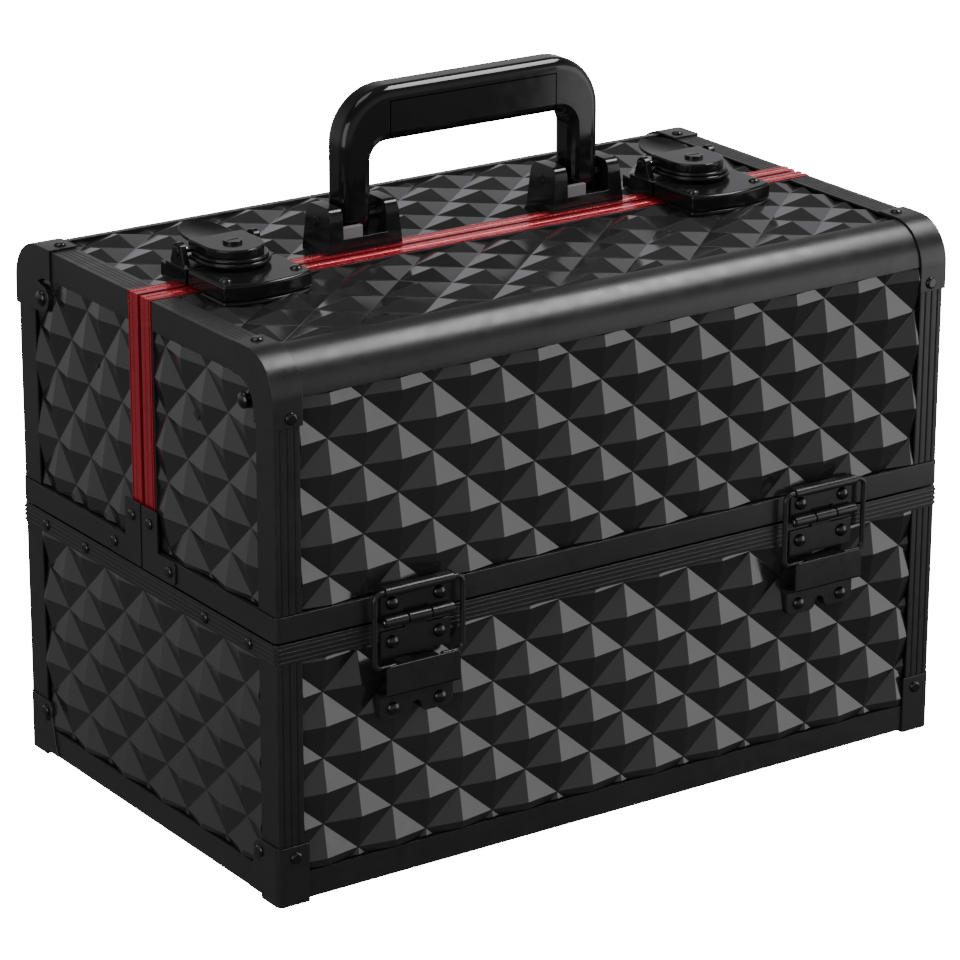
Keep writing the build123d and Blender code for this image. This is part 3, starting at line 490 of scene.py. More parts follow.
# ======== handle and its brackets ========
GRIP_LOW, GRIP_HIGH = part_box("handle")
GRIP_MID_Y = (GRIP_HIGH.y + GRIP_LOW.y) / 2
GRIP_HALF_Y = (GRIP_HIGH.y - GRIP_LOW.y) / 2
PIVOT = Vector(JOINTS["handle_pivot"]["pos_m"])
OUTER_R, INNER_R = 26 * MM, 8 * MM
BAR_DEPTH, LEG_WIDTH = 26 * MM, 16 * MM
LEG_FOOT_R = 8 * MM
# The grip's outer edges are rounded over EDGE_DEPTH and keep EDGE_FLAT of its thickness flat. Its inner
# edges are points, as the depth from the inner face and the share of the thickness.
EDGE_DEPTH = 5.4 * MM
EDGE_FLAT = 0.42
INNER_EDGE = ((4.5 * MM, 1.0), (2.4 * MM, 0.93), (0.9 * MM, 0.76), (0.1 * MM, 0.45))
PANEL_HALF, PANEL_LINE = 46 * MM, 0.5 * MM
PANEL_Y = (GRIP_LOW.y - 0.04 * MM, GRIP_LOW.y + 0.26 * MM)
PANEL_Z = (GRIP_HIGH.z - 24 * MM, GRIP_HIGH.z - 6.6 * MM)
BRACKET_X = 62 * MM
BRACKET_HALF, FORK_HALF = 20 * MM, 11.6 * MM
BRACKET_Y = (4 * MM, 26 * MM)
CHEEK_MID, CHEEK_HALF = 15 * MM, 10.4 * MM
CHEEK_SHOULDER, CHEEK_RISE = TOP + 12 * MM, 8.8 * MM
CHEEK_LEAN = 0.10
CHEEK_SQUARENESS = (0.3, 0.8)
SADDLE_TOP, SADDLE_HALF = TOP + 6.4 * MM, 12 * MM
SADDLE_Y = (BRACKET_Y[0] + 0.2 * MM, BRACKET_Y[1] - 1 * MM)
BRACKET_PIN = ((2.6 * MM, -0.1 * MM), (2.6 * MM, 0.2 * MM), (2.2 * MM, 0.45 * MM))
# Light grey blocks inside each fork, in its left half and against its front.
GREY_BLOCK_X = (-11.7 * MM, -1 * MM)
GREY_BLOCK_Y = (BRACKET_Y[0] + 0.7 * MM, BRACKET_Y[0] + 3.2 * MM)
GREY_BLOCK_Z = (TOP + 6 * MM, TOP + 11.6 * MM)


def grip_section(outer, inner, half_y):
    """A ring round the grip between an outer and an inner (x, z) point, rounded on its outer edges."""
    outer, inner = Vector((outer[0], 0, outer[1])), Vector((inner[0], 0, inner[1]))
    across = (inner - outer).normalized()
    reach = (inner - outer).length
    turns = [radians(turn) for turn in range(0, 91, 9)]
    edge = [(EDGE_DEPTH * (1 - cos(turn)), EDGE_FLAT + (1 - EDGE_FLAT) * sin(turn)) for turn in turns]
    edge += [(reach - depth, wide) for depth, wide in INNER_EDGE]
    near = [outer + across * depth + Vector((0, GRIP_MID_Y - half_y * wide, 0)) for depth, wide in edge]
    far = [outer + across * depth + Vector((0, GRIP_MID_Y + half_y * wide, 0)) for depth, wide in edge]
    return near + far[::-1]


def grip_rings():
    """Rings along one half of the grip: the rounded foot, the leg, the bend and half of the bar."""
    out_x, top = GRIP_HIGH.x, GRIP_HIGH.z
    inner_low = top - BAR_DEPTH - INNER_R
    rings = []
    for turn in (8, 25, 45, 65):
        height = GRIP_LOW.z + LEG_FOOT_R * (1 - cos(radians(turn)))
        rings.append(grip_section((out_x, height), (out_x - LEG_WIDTH, height),
                                  GRIP_HALF_Y * sin(radians(turn))))
    for height in (GRIP_LOW.z + LEG_FOOT_R, inner_low - INNER_R):
        rings.append(grip_section((out_x, height), (out_x - LEG_WIDTH, height), GRIP_HALF_Y))
    outer_bend = arc((out_x - OUTER_R, top - OUTER_R), OUTER_R, 0, 90, 14)
    inner_bend = arc((out_x - LEG_WIDTH - INNER_R, inner_low), INNER_R, 0, 90, 14)
    rings += [grip_section(outer, inner, GRIP_HALF_Y) for outer, inner in zip(outer_bend, inner_bend)]
    return rings + [grip_section((0, top), (0, top - BAR_DEPTH), GRIP_HALF_Y)]


def carry_handle():
    """The moulded grip: two legs and a bar, with rounded feet round the pins."""
    rings = grip_rings()
    mirrored = [[Vector((-point.x, point.y, point.z)) for point in ring] for ring in rings[-2::-1]]
    shape = bmesh.new()
    loft(shape, rings + mirrored)
    piece("grip", shape, "handle", "handle", edge=0.5 * MM, segments=3, angle=12)


def grip_panel_seam():
    """The thin dark line round the panel on the front of the bar, a strip of painted shade for the panel's
    groove.
    """
    shape = bmesh.new()
    low, high = PANEL_Z
    for x, z in (((-PANEL_HALF, PANEL_HALF), (low, low + PANEL_LINE)),
                 ((-PANEL_HALF, PANEL_HALF), (high - PANEL_LINE, high)),
                 ((-PANEL_HALF, -PANEL_HALF + PANEL_LINE), PANEL_Z),
                 ((PANEL_HALF - PANEL_LINE, PANEL_HALF), PANEL_Z)):
        slab(shape, rectangle(x, z), PANEL_Y)
    piece("grip_panel_seam", shape, "handle", edge=0.03 * MM, finish=PAINTED_SHADE)


def bracket(shape, x):
    """One forked foot: two arched cheeks that lean outwards, a saddle and the ends of the pin."""
    low_y, high_y = BRACKET_Y
    square_y, square_z = CHEEK_SQUARENESS
    cheek = [(low_y, STRIP_TOP), (high_y, STRIP_TOP)]
    for turn in range(0, 181, 9):
        u, v = cos(radians(turn)), sin(radians(turn))
        half_y = CHEEK_HALF if u > 0 else -CHEEK_HALF
        cheek.append((CHEEK_MID + half_y * abs(u) ** square_y, CHEEK_SHOULDER + CHEEK_RISE * v ** square_z))
    for side in SIDES:
        outer = [(x + side * (BRACKET_HALF - (z - STRIP_TOP) * CHEEK_LEAN), y, z) for y, z in cheek]
        inner = [(x + side * FORK_HALF, y, z) for y, z in cheek]
        loft(shape, [outer, inner])
        pin_end = BRACKET_HALF - (PIVOT.z - STRIP_TOP) * CHEEK_LEAN
        lathe(shape, BRACKET_PIN, Vector((x + side * pin_end, PIVOT.y, PIVOT.z)), side * RIGHT)
    web(shape, [(low_y, STRIP_TOP), (high_y, STRIP_TOP), (SADDLE_Y[1], SADDLE_TOP),
                (SADDLE_Y[0], SADDLE_TOP)], (x - SADDLE_HALF, x + SADDLE_HALF))
    web(shape, rectangle((RED_Y + 0.5 * MM, high_y), (FOOT_LOW, STRIP_TOP)),
        (x - BRACKET_HALF, x + BRACKET_HALF))


def handle_brackets():
    """The two forked feet, and light grey blocks inside the forks, against their fronts."""
    feet, grey_blocks = bmesh.new(), bmesh.new()
    for x in (-BRACKET_X, BRACKET_X):
        bracket(feet, x)
        web(grey_blocks, rectangle(GREY_BLOCK_Y, GREY_BLOCK_Z), (x + GREY_BLOCK_X[0], x + GREY_BLOCK_X[1]))
    piece("brackets", feet, "handle_brackets", "handle_brackets", edge=0.9 * MM, segments=3)
    piece("fork_stop_pads", grey_blocks, "handle_brackets", edge=0.25 * MM, finish=LIGHT_GREY)


carry_handle()
grip_panel_seam()
handle_brackets()

# ======== latches ========
LEVER_AXIS_Y, LEVER_AXIS_Z = JOINTS["right_latch_pivot"]["pos_m"][1:]
LEVER_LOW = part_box("right_latch_lever")[0].z
PLATE_HALF = 23 * MM
PLATE_TOP = TOP + 7.9 * MM
SPLIT_PLAY = 0.8 * MM
PLATE_SHOULDER, PLATE_FRONT = -31 * MM, -36 * MM
BOW_R, BOW_TURN = 55.9 * MM, 24.3
PLATE_STUDS = ((-18 * MM, -25 * MM), (18 * MM, -25 * MM))
BLOCK_TOP, BLOCK_BACK = TOP + 7.6 * MM, 18 * MM
APRON_TOP, APRON_Y = TOP + 4.2 * MM, (17 * MM, 29 * MM)
APRON_HALVES = (21 * MM, 19 * MM)
LUG_LOW, LUG_FRONT, LUG_R = TOP + 7 * MM, 5.5 * MM, 3.9 * MM
LUG_X = (17.4 * MM, 20.6 * MM)
LUG_PIN_X = 20.4 * MM
LUG_PIN = ((2.5 * MM, 0), (2.5 * MM, 0.6 * MM), (1.9 * MM, 1.0 * MM))
PLATE_STUD = (2.7 * MM, 1.2 * MM)
BAIL_HALF, BAIL_BACK, BAIL_CENTRE = 16.8 * MM, 9 * MM, -2.2 * MM
BAIL_STEP = 0.94
LOCK_HALF, LOCK_BACK, LOCK_CENTRE = 14 * MM, 13.5 * MM, -1.6 * MM
BAIL_Z = (LEVER_LOW, LEVER_LOW + 2.2 * MM)
STEP_Z = (LEVER_LOW + 2.1 * MM, LEVER_LOW + 3.8 * MM)
LOCK_Z = (LEVER_LOW + 3.5 * MM, LEVER_LOW + 7.7 * MM)
BARREL_R, BARREL_HALF = 3.5 * MM, 11 * MM
# The thumb tab tapers from the share TAB_TAPER[0] of its length on. Its section is a list of places
# across, as shares of its half width, and of heights in millimetres.
TAB_START, TAB_LENGTH, TAB_HALF = 11 * MM, 25 * MM, 11.4 * MM
TAB_BASE, TAB_RISE, TAB_DISH = LEVER_AXIS_Z + 0.6 * MM, 2.6 * MM, 0.9 * MM
TAB_TAPER, TAB_TIP = (0.35, 0.67), 0.05
TAB_STEPS = 8
TAB_UNDER = ((-1, 0), (-0.5, -0.1), (0, -0.1), (0.5, -0.1), (1, 0))
TAB_OVER = ((1, 1.4), (0.5, 1.3), (0, 1.3), (-0.5, 1.3), (-1, 1.4))


def latch_plates():
    """Base plates on the front lid: a bowed front, a rounded rim and small rivets."""
    shape, studs = bmesh.new(), bmesh.new()
    for x in LATCH_X:
        left, right = x - PLATE_HALF, x + PLATE_HALF
        front = [(left, PLATE_SHOULDER)]
        front += arc((x, PLATE_FRONT + BOW_R), BOW_R, 270 - BOW_TURN, 270 + BOW_TURN, 16)[1:-1]
        front.append((right, PLATE_SHOULDER))
        foot_back = -RED_Y - FOOT_GAP
        plate(shape, [(left, -SPLIT_PLAY)] + front + [(right, -SPLIT_PLAY)], (STRIP_TOP, PLATE_TOP))
        plate(shape, [(left, foot_back)] + front + [(right, foot_back)], (FOOT_LOW, FOOT_TOP))
        for stud_x, stud_y in PLATE_STUDS:
            stud(studs, Vector((x + stud_x, stud_y, PLATE_TOP)), UP, *PLATE_STUD)
    for vert in shape.verts:
        vert.co = swept(vert.co)
    piece("latch_plates", shape, "latch_bases", "latch_bases", edge=1.3 * MM, segments=3)
    stud_piece("latch_plate_studs", studs, "latch_bases")


def rounded_front(x, half_w, back, centre, steps):
    """A D shape: straight at the back and round in front."""
    return [(x + half_w, back), (x - half_w, back)] + arc((x, centre), half_w, 180, 360, steps)


def lever(hand, x):
    """The lever: a D-shaped bail with a lock plate on top, and the barrel on its pin."""
    shape = bmesh.new()
    bail = rounded_front(x, BAIL_HALF, BAIL_BACK, BAIL_CENTRE, 24)
    step = [(x + (px - x) * BAIL_STEP, BAIL_CENTRE + (py - BAIL_CENTRE) * BAIL_STEP) for px, py in bail]
    plate(shape, bail, BAIL_Z)
    plate(shape, step, STEP_Z)
    plate(shape, rounded_front(x, LOCK_HALF, LOCK_BACK, LOCK_CENTRE, 20), LOCK_Z)
    rod(shape, BARREL_R, 2 * BARREL_HALF, Vector((x - BARREL_HALF, LEVER_AXIS_Y, LEVER_AXIS_Z)), RIGHT)
    node = f"{hand}_latch_lever"
    piece(f"{hand}_lever", shape, node, node, edge=0.8 * MM, segments=3)


def thumb_tab(hand, x):
    """The lever's dished thumb tab, which narrows and rises towards its rear end."""
    rings = []
    for step in range(TAB_STEPS + 1):
        share = step / TAB_STEPS
        taper = max(0.0, (share - TAB_TAPER[0]) / TAB_TAPER[1])
        half_w = TAB_HALF * sqrt(max(TAB_TIP, 1 - taper ** 2))
        y, z = TAB_START + TAB_LENGTH * share, TAB_BASE + TAB_RISE * share ** 2
        rings.append([(x + half_w * across, y, z + lift * MM + TAB_DISH * across ** 2)
                      for across, lift in TAB_UNDER + TAB_OVER])
    shape = bmesh.new()
    loft(shape, rings)
    piece(f"{hand}_thumb_tab", shape, f"{hand}_latch_lever", edge=0.4 * MM, segments=3, angle=50)


def latch_lugs():
    """Rear halves of the latches: a block with a low apron and arched lugs that hold the lever's pin."""
    shape = bmesh.new()
    for x in LATCH_X:
        ends = (x - PLATE_HALF, x + PLATE_HALF)
        apron = [(x - APRON_HALVES[0], APRON_Y[0]), (x + APRON_HALVES[0], APRON_Y[0]),
                 (x + APRON_HALVES[1], APRON_Y[1]), (x - APRON_HALVES[1], APRON_Y[1])]
        plate(shape, rectangle(ends, (SPLIT_PLAY, BLOCK_BACK)), (STRIP_TOP, BLOCK_TOP))
        plate(shape, rectangle(ends, (RED_Y + FOOT_GAP, BLOCK_BACK)), (FOOT_LOW, FOOT_TOP))
        plate(shape, apron, (FOOT_LOW, APRON_TOP))
        lug = [(LUG_FRONT, LUG_LOW), (BLOCK_BACK, LUG_LOW)]
        lug += arc((LEVER_AXIS_Y, LEVER_AXIS_Z), LUG_R, 0, 180, 14)
        for side in SIDES:
            web(shape, lug, (x + side * LUG_X[0], x + side * LUG_X[1]))
            lathe(shape, LUG_PIN, Vector((x + side * LUG_PIN_X, LEVER_AXIS_Y, LEVER_AXIS_Z)), side * RIGHT)
    piece("latch_lugs", shape, "latch_blocks", "latch_blocks", edge=0.9 * MM, segments=3)


latch_plates()
latch_lugs()
for (hand, _), latch_x in zip(HANDS, LATCH_X):
    lever(hand, latch_x)
    thumb_tab(hand, latch_x)

# ======== red strips ========
# Sections of a strip and its liner, as millimetres from the strip's outer edge towards the split and
# out of the boards' faces.
GROOVES = ((0.75, -0.2), (0.85, 0.3), (1.5, 0.3), (1.6, -0.5), (2.2, -0.5), (2.3, 0.3), (4.2, 0.3),
           (4.4, -0.1), (6.4, -0.1), (6.6, 0.3), (9.0, 0.3), (9.2, -0.6), (9.2, -2.8), (0.75, -2.8))
LINER = ((-0.1, -2.8), (-0.1, -0.4), (0.8, -0.3), (0.8, -2.8))


def round_the_lid(shape, section, way):
    """Carry a strip's section up one end of a lid, over the top and down the other end."""
    outline = [(way * (RED_Y - across * MM), rise * MM) for across, rise in section]
    corners = ((-1, LID_BAND_TOP, 0), (-1, TOP, 1), (1, TOP, 1), (1, LID_BAND_TOP, 0))
    loft(shape, [[(side * (HALF_W + rise), y, z + up * rise) for y, rise in outline]
                 for side, z, up in corners])


def red_strip(half, way):
    """The grooved red strip that caps the opening edge of one lid, with its black liner."""
    strip, liner = bmesh.new(), bmesh.new()
    round_the_lid(strip, GROOVES, way)
    round_the_lid(liner, LINER, way)
    node = half + "_lid_split_profile"
    piece(half + "_red_strip", strip, node, node, edge=0.05 * MM, segments=1)
    piece(half + "_strip_liner", liner, half + "_lid_end_trims", edge=0.05 * MM, segments=1)


# ======== fine ribs of the extruded profiles ========
RIB_HALF, RIB_HEIGHT = 0.5 * MM, 0.16 * MM
RIB_TOP_HALF = RIB_HALF * 2 / 3
RIB_ROOT = -0.3 * MM
RIB_COUNT = 4
BAND_RIB, BAND_PITCH = 1.4 * MM, 2.1 * MM
FRAME_RIB, FRAME_PITCH = 3.4 * MM, 2.3 * MM
FRAME_RIB_Y = (RED_Y + 0.4 * MM, 78 * MM)
BAND_END = 1 * MM


def rib(shape, start, end, out):
    """A low trapezoid rib from start to end, standing out of a face."""
    start, end = Vector(start), Vector(end)
    side = (end - start).normalized().cross(out)
    section = [(-RIB_HALF, RIB_ROOT), (-RIB_HALF, 0.0), (-RIB_TOP_HALF, RIB_HEIGHT),
               (RIB_TOP_HALF, RIB_HEIGHT), (RIB_HALF, 0.0), (RIB_HALF, RIB_ROOT)]
    loft(shape, [[at + side * across + out * rise for across, rise in section] for at in (start, end)])


def base_band_ribs():
    """Ribs along the four sides of the base's seam band."""
    shape = bmesh.new()
    low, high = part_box("base_rim")
    for step in range(RIB_COUNT):
        z = low.z + BAND_RIB + BAND_PITCH * step
        for way in SIDES:
            rib(shape, (way * high.x, low.y + BAND_END, z), (way * high.x, high.y - BAND_END, z),
                way * RIGHT)
            rib(shape, (low.x + BAND_END, way * high.y, z), (high.x - BAND_END, way * high.y, z),
                way * BACK)
    piece("base_band_ribs", shape, "base_rim", edge=0.1 * MM, segments=1)


def end_frame_ribs(half, way):
    """Ribs along the top of a lid's end frames."""
    shape = bmesh.new()
    for side in SIDES:
        for step in range(RIB_COUNT):
            x = side * (HALF_W - FRAME_RIB - FRAME_PITCH * step)
            rib(shape, (x, way * FRAME_RIB_Y[0], TOP), (x, way * FRAME_RIB_Y[1], TOP), UP)
    piece(half + "_end_frame_ribs", shape, half + "_lid_end_trims", edge=0.1 * MM, segments=1)


# ======== hinges and stay brackets ========
LEAF_LOW = HALF_D + 1 * MM
LEAF_HALF, KNUCKLE, KNUCKLE_PLAY = 18.15 * MM, 12.1 * MM, 0.35 * MM
LID_LEAF_LOW, BASE_LEAF_HIGH, BASE_LEAF_LOW = SEAM + 3.4 * MM, SEAM - 5.3 * MM, SEAM - 17.8 * MM
KNUCKLE_R, SLEEVE_R = 2.5 * MM, 2.15 * MM
STRAP_Z = (SEAM - 0.9 * MM, SEAM + 0.9 * MM)
SLEEVE_Z = SEAM + 14 * MM
SLEEVE_HALF = 17.8 * MM
SLEEVE_WEB = (SLEEVE_Z - 1.2 * MM, SLEEVE_Z + 2 * MM)
SLEEVE_WEB_HALF = 17.6 * MM
LID_STRAP = (SEAM + 0.2 * MM, LID_LEAF_LOW + 0.4 * MM)
BASE_STRAP = (BASE_LEAF_HIGH - 0.4 * MM, SEAM)
ROLL_DEPTH = 0.3 * MM
HINGE_STUD, HINGE_STUD_X = (3.1 * MM, 1.9 * MM), 12.3 * MM
STUD_ROWS = (("lid_hinge_leaves", SEAM + 7.5 * MM, LEAF_FACE),
             ("base_hinge_leaves", SEAM - 10.5 * MM, LEAF_FACE),
             ("stay_brackets", SEAM - 41.5 * MM, STAY_FOOT_FACE))
STAY_HALF, STAY_CORNER, STAY_SKIN = 19.3 * MM, 1.6 * MM, 1.2 * MM
STAY_HIGH, STAY_STEP, STAY_LOW = SEAM - 19 * MM, SEAM - 33 * MM, SEAM - 46.5 * MM
LOBE_R, NOTCH_R = 3.2 * MM, 2.6 * MM
STAY_CORE, STAY_CORE_SKIN = 10 * MM, 1 * MM
STAY_DROP = 2.6 * MM
STAY_FOOT_TOP = STAY_STEP - 2.2 * MM


def leaf(shape, x, way, heights):
    """The flat of a hinge leaf."""
    low, high = way * LEAF_LOW, way * LEAF_FACE
    plate(shape, rectangle((x - LEAF_HALF, x + LEAF_HALF), (low, high)), heights)


def knuckle(shape, left, way, strap_z):
    """One rolled knuckle round the hinge pin, with the strap that joins it to its leaf."""
    low, high, centre = way * LEAF_LOW, way * LEAF_FACE, way * AXIS_Y
    ends = (left, left + KNUCKLE - 2 * KNUCKLE_PLAY)
    rod(shape, KNUCKLE_R, ends[1] - ends[0], Vector((left, centre, SEAM)), RIGHT)
    web(shape, rectangle((low, high), strap_z), ends)
    web(shape, rectangle((low, centre + way * ROLL_DEPTH), STRAP_Z), ends)


def hinge_leaves(half, way):
    """Rolled hinge leaves: the lid's has two knuckles and a sleeve for the stay, the base's one knuckle."""
    lid, base = bmesh.new(), bmesh.new()
    low, centre = way * LEAF_LOW, way * AXIS_Y
    for x in HINGES:
        leaf(lid, x, way, (LID_LEAF_LOW, SLEEVE_Z))
        for start in (x - 1.5 * KNUCKLE, x + 0.5 * KNUCKLE):
            knuckle(lid, start + KNUCKLE_PLAY, way, LID_STRAP)
        rod(lid, SLEEVE_R, 2 * SLEEVE_HALF, Vector((x - SLEEVE_HALF, centre, SLEEVE_Z)), RIGHT)
        web(lid, rectangle((low, centre), SLEEVE_WEB), (x - SLEEVE_WEB_HALF, x + SLEEVE_WEB_HALF))
        leaf(base, x, way, (BASE_LEAF_LOW, BASE_LEAF_HIGH))
        knuckle(base, x - 0.5 * KNUCKLE + KNUCKLE_PLAY, way, BASE_STRAP)
    for part_name, shape in (("lid", lid), ("base", base)):
        node = f"{half}_{part_name}_hinge_leaves"
        piece("rolled_" + node, shape, node, node, edge=0.3 * MM)


def stay_foot(x):
    """The outline of a stay bracket's foot: two round lobes with a round notch between them."""
    lobe_z = STAY_LOW + LOBE_R
    return ([(x + STAY_HALF, STAY_FOOT_TOP), (x - STAY_HALF, STAY_FOOT_TOP)]
            + arc((x - STAY_HALF + LOBE_R, lobe_z), LOBE_R, 180, 270, 8)
            + arc((x - NOTCH_R - LOBE_R, lobe_z), LOBE_R, 270, 360, 8)
            + arc((x, lobe_z), NOTCH_R, 180, 0, 10)[1:-1]
            + arc((x + NOTCH_R + LOBE_R, lobe_z), LOBE_R, 180, 270, 8)
            + arc((x + STAY_HALF - LOBE_R, lobe_z), LOBE_R, 270, 360, 8))


def stay_brackets(half, way):
    """Pressed stay brackets: a raised plate, a step and a flat foot with two round lobes and a notch."""
    node = half + "_stay_brackets"
    face = max(abs(corner.y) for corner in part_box(node))
    back = HALF_D - SKIN
    above, below, foot = STAY_STEP + STAY_CORE_SKIN, STAY_STEP - STAY_CORE_SKIN, STAY_STEP - STAY_DROP
    step = [(face - STAY_SKIN, above), (face, above), (face, STAY_STEP), (STAY_FOOT_FACE, foot),
            (back, foot), (back, below), (STAY_FOOT_FACE, below)]
    core = rectangle((back, face - STAY_CORE_SKIN), (STAY_STEP, STAY_HIGH - STAY_CORE_SKIN))
    shape = bmesh.new()
    for x in HINGES:
        left, right = x - STAY_HALF, x + STAY_HALF
        shoulder = STAY_HIGH - STAY_CORNER
        raised = [(left, STAY_STEP), (right, STAY_STEP), (right, shoulder),
                  (right - STAY_CORNER, STAY_HIGH), (left + STAY_CORNER, STAY_HIGH), (left, shoulder)]
        slab(shape, raised, (way * (face - STAY_SKIN), way * face))
        web(shape, [(way * y, z) for y, z in step], (left, right))
        web(shape, [(way * y, z) for y, z in core], (x - STAY_CORE, x + STAY_CORE))
        slab(shape, stay_foot(x), (way * back, way * STAY_FOOT_FACE))
    piece("pressed_" + node, shape, node, node, edge=0.35 * MM)


def hinge_studs(half, way):
    """Large domed rivets on the hinge leaves and on the feet of the stay brackets."""
    for name, height, face in STUD_ROWS:
        shape = bmesh.new()
        for x in HINGES:
            for place in (x - HINGE_STUD_X, x + HINGE_STUD_X):
                stud(shape, Vector((place, way * face, height)), way * BACK, *HINGE_STUD)
        stud_piece(f"studs_{half}_{name}", shape, f"{half}_{name}")


# ======== corner caps and protectors ========
CAP_LOBE_Y, CAP_LOBE_Z, CAP_LOBE_R = HALF_D - 22.5 * MM, TOP - 23.5 * MM, 6.6 * MM
CAP_INSIDE, CAP_FACE = HALF_W - 2.4 * MM, HALF_W + 1 * MM
CAP_STUD = (3.7 * MM, 1.7 * MM)
CAP_TONGUE = ((87 * MM, TOP - 30 * MM), (97 * MM, TOP - 30.5 * MM), (97 * MM, TOP - 13 * MM),
              (89 * MM, TOP - 16.5 * MM))
PROTECTOR_LOBE_Y, PROTECTOR_LOBE_Z = HALF_D - 14.5 * MM, BASE_LOW + 8.5 * MM
PROTECTOR_X, PROTECTOR_LOBE_R = (HALF_W - 1 * MM, HALF_W + 0.97 * MM), 5.4 * MM
PROTECTOR_TONGUE = ((HALF_D - 13 * MM, BASE_LOW + 13.6 * MM), (HALF_D - 13 * MM, BASE_LOW - 12 * MM),
                    (HALF_D - 25 * MM, BASE_LOW - 12 * MM), (HALF_D - 22.5 * MM, BASE_LOW - 6 * MM),
                    (HALF_D - 19.6 * MM, BASE_LOW + 7 * MM))
RIVET_SHIFT, RIVET_ROOM = 7.5 * MM, 20 * MM


def rear_cap_lobes():
    """Round lobes of the rear corner caps under their side rivets."""
    shape = bmesh.new()
    for side in SIDES:
        rod(shape, CAP_LOBE_R, CAP_FACE - CAP_INSIDE, Vector((side * CAP_INSIDE, CAP_LOBE_Y, CAP_LOBE_Z)),
            side * RIGHT, 40)
        web(shape, CAP_TONGUE, (side * CAP_INSIDE, side * (CAP_FACE - MERGE)))
    piece("rear_cap_lobes", shape, "rear_lid_corner_caps", edge=0.35 * MM)


def cap_studs(half, way):
    """Large domed rivets on the corner caps' ends."""
    shape = bmesh.new()
    for side in SIDES:
        stud(shape, Vector((side * CAP_FACE, way * CAP_LOBE_Y, CAP_LOBE_Z)), side * RIGHT, *CAP_STUD)
    stud_piece(half + "_cap_studs", shape, half + "_lid_rivets")


def protector_lobes():
    """Round lobes of the bottom corner protectors, with their end rivets moved onto them."""
    shape = bmesh.new()
    inside, outside = PROTECTOR_X
    for side in SIDES:
        for way in SIDES:
            centre = Vector((side * inside, way * PROTECTOR_LOBE_Y, PROTECTOR_LOBE_Z))
            rod(shape, PROTECTOR_LOBE_R, outside - inside, centre, side * RIGHT, 40)
            web(shape, [(way * y, z) for y, z in PROTECTOR_TONGUE], (side * inside, side * outside))
    piece("protector_lobes", shape, "base_corner_protectors", edge=0.35 * MM)
    rivets = refined("base_rivets")
    for vert in rivets.data.vertices:
        if abs(vert.co.x) > (HALF_W + CAP_FACE) / 2 and vert.co.z < BASE_LOW + RIVET_ROOM:
            vert.co.y -= RIVET_SHIFT if vert.co.y > 0 else -RIVET_SHIFT


base_band_ribs()
rear_cap_lobes()
protector_lobes()
for half, way in HALVES:
    red_strip(half, way)
    end_frame_ribs(half, way)
    hinge_leaves(half, way)
    stay_brackets(half, way)
    hinge_studs(half, way)
    cap_studs(half, way)

# ======== everything else: clean copies with rounded edges ========
# The floor board shows as it is in the CAD.
for node_name in sorted(set(frame["nodes"]) - REPLACED - {"base_bottom"}):
    refined(node_name)

# ======== floor, light and camera ========
# Heights in the room, from straight down at 0 to straight up at 1, and how bright it is there.
ROOM = ((0.10, 0.10), (0.36, 0.15), (0.47, 0.70), (0.66, 0.55), (0.80, 0.12), (1.0, 0.20))
FLOOR_SPAN = (-8, 8)
FLOOR_GLOW = 25.0
SENSOR_WIDTH, FOCAL_LENGTH = 36, 160.28
# Name, the point it faces, its place, its size and its power.
SOFTBOXES = (("key_right", (0, 0, 0.12), (1.30, -0.98, 0.22), (0.95, 1.15), 7.5),
             ("key_top", (0, 0, 0.25), (0.85, -0.22, 1.53), (0.95, 0.42), 22),
             ("overhead", (0, 0, 0.2), (-0.5, 0.3, 2.1), (1.0, 1.0), 10),
             ("fill_left", (0, 0, 0.15), (-1.4, -0.5, 0.5), (1.0, 1.0), 9))


def studio_floor():
    """A plain pale floor that the case neither mirrors nor is lit by."""
    mesh = bpy.data.meshes.new("floor")
    mesh.from_pydata([(x, y, 0) for x, y in rectangle(FLOOR_SPAN, FLOOR_SPAN)], [], [range(4)])
    floor = bpy.data.objects.new("floor", mesh)
    bpy.context.scene.collection.objects.link(floor)
    nodes = Nodes("floor_paper")
    tone = nodes.between(nodes.noise(3, 3), 0.0, 1.0)
    nodes.fill(nodes.shader, Base_Color=nodes.blend(tone, grey(0.90), grey(0.93)),
               Roughness=nodes.between(nodes.noise(60, 4), 0.8, 0.95), Emission_Color=(1, 1, 1, 1),
               Emission_Strength=FLOOR_GLOW)
    mesh.materials.append(nodes.material)
    floor.visible_glossy = False
    floor.visible_diffuse = False


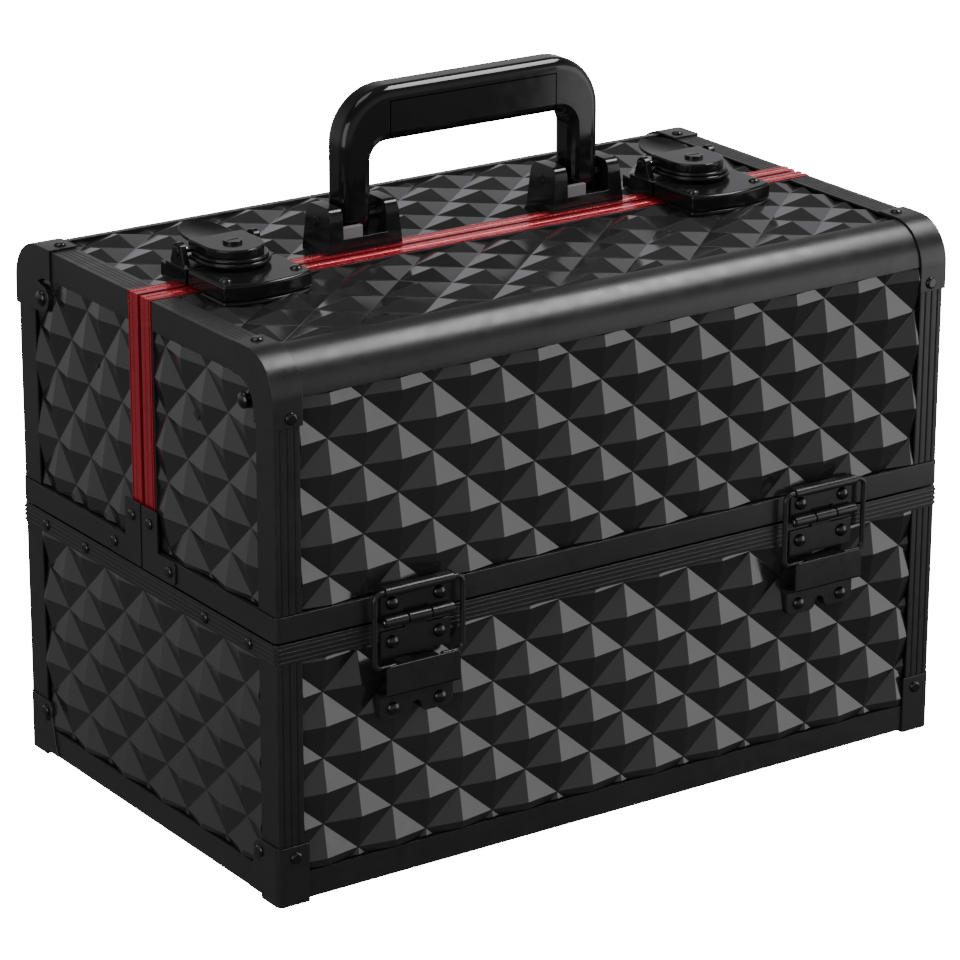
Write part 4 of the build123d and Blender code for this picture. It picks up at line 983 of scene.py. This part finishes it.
def room(tree):
    """The nodes of a dim room whose brightness depends on the height above the horizon."""
    height = tree.nodes.new("ShaderNodeSeparateXYZ")
    spread = tree.nodes.new("ShaderNodeMapRange")
    ramp = tree.nodes.new("ShaderNodeValToRGB")
    dim = tree.nodes.new("ShaderNodeBackground")
    spread.inputs["From Min"].default_value = -1
    tree.links.new(tree.nodes.new("ShaderNodeTexCoord").outputs["Generated"], height.inputs[0])
    tree.links.new(height.outputs["Z"], spread.inputs["Value"])
    tree.links.new(spread.outputs[0], ramp.inputs[0])
    tree.links.new(ramp.outputs[0], dim.inputs["Color"])
    for _ in ROOM[2:]:
        ramp.color_ramp.elements.new(0.5)
    for element, (place, value) in zip(ramp.color_ramp.elements, ROOM):
        element.position = place
        element.color = grey(value)
    return dim


def world():
    """White behind the object for the camera, and a dim grey room for light and gloss."""
    made = bpy.data.worlds.new("room")
    bpy.context.scene.world = made
    made.use_nodes = True
    tree = made.node_tree
    tree.nodes.clear()
    white = tree.nodes.new("ShaderNodeBackground")
    white.inputs["Color"].default_value = (1, 1, 1, 1)
    path = tree.nodes.new("ShaderNodeLightPath")
    mix = tree.nodes.new("ShaderNodeMixShader")
    out = tree.nodes.new("ShaderNodeOutputWorld")
    tree.links.new(path.outputs["Is Camera Ray"], mix.inputs["Fac"])
    tree.links.new(room(tree).outputs[0], mix.inputs[1])
    tree.links.new(white.outputs[0], mix.inputs[2])
    tree.links.new(mix.outputs[0], out.inputs["Surface"])


def softbox(name, aim, place, size, power):
    """An area light that faces a point of the case."""
    data = bpy.data.lights.new(name, "AREA")
    data.shape = "RECTANGLE"
    data.size, data.size_y = size
    data.energy = power
    light = bpy.data.objects.new(name, data)
    bpy.context.scene.collection.objects.link(light)
    light.location = place
    light.rotation_euler = (Vector(aim) - Vector(place)).to_track_quat("-Z", "Y").to_euler()


def camera(place, heading, down, roll):
    """A long lens, to the left of the front and a little above; the angles are in degrees."""
    data = bpy.data.cameras.new("camera")
    data.sensor_width = SENSOR_WIDTH
    data.lens = FOCAL_LENGTH
    data.clip_end = 20
    made = bpy.data.objects.new("camera", data)
    bpy.context.scene.collection.objects.link(made)
    turn = Matrix.Rotation(radians(heading), 4, "Z") @ Matrix.Rotation(radians(90 - down), 4, "X")
    made.matrix_world = Matrix.Translation(place) @ turn @ Matrix.Rotation(radians(roll), 4, "Z")
    bpy.context.scene.camera = made


studio_floor()
world()
camera(place=(-1.0707, -1.5505, 0.8042), heading=-34.583, down=19.626, roll=0.2)
for box in SOFTBOXES:
    softbox(*box)
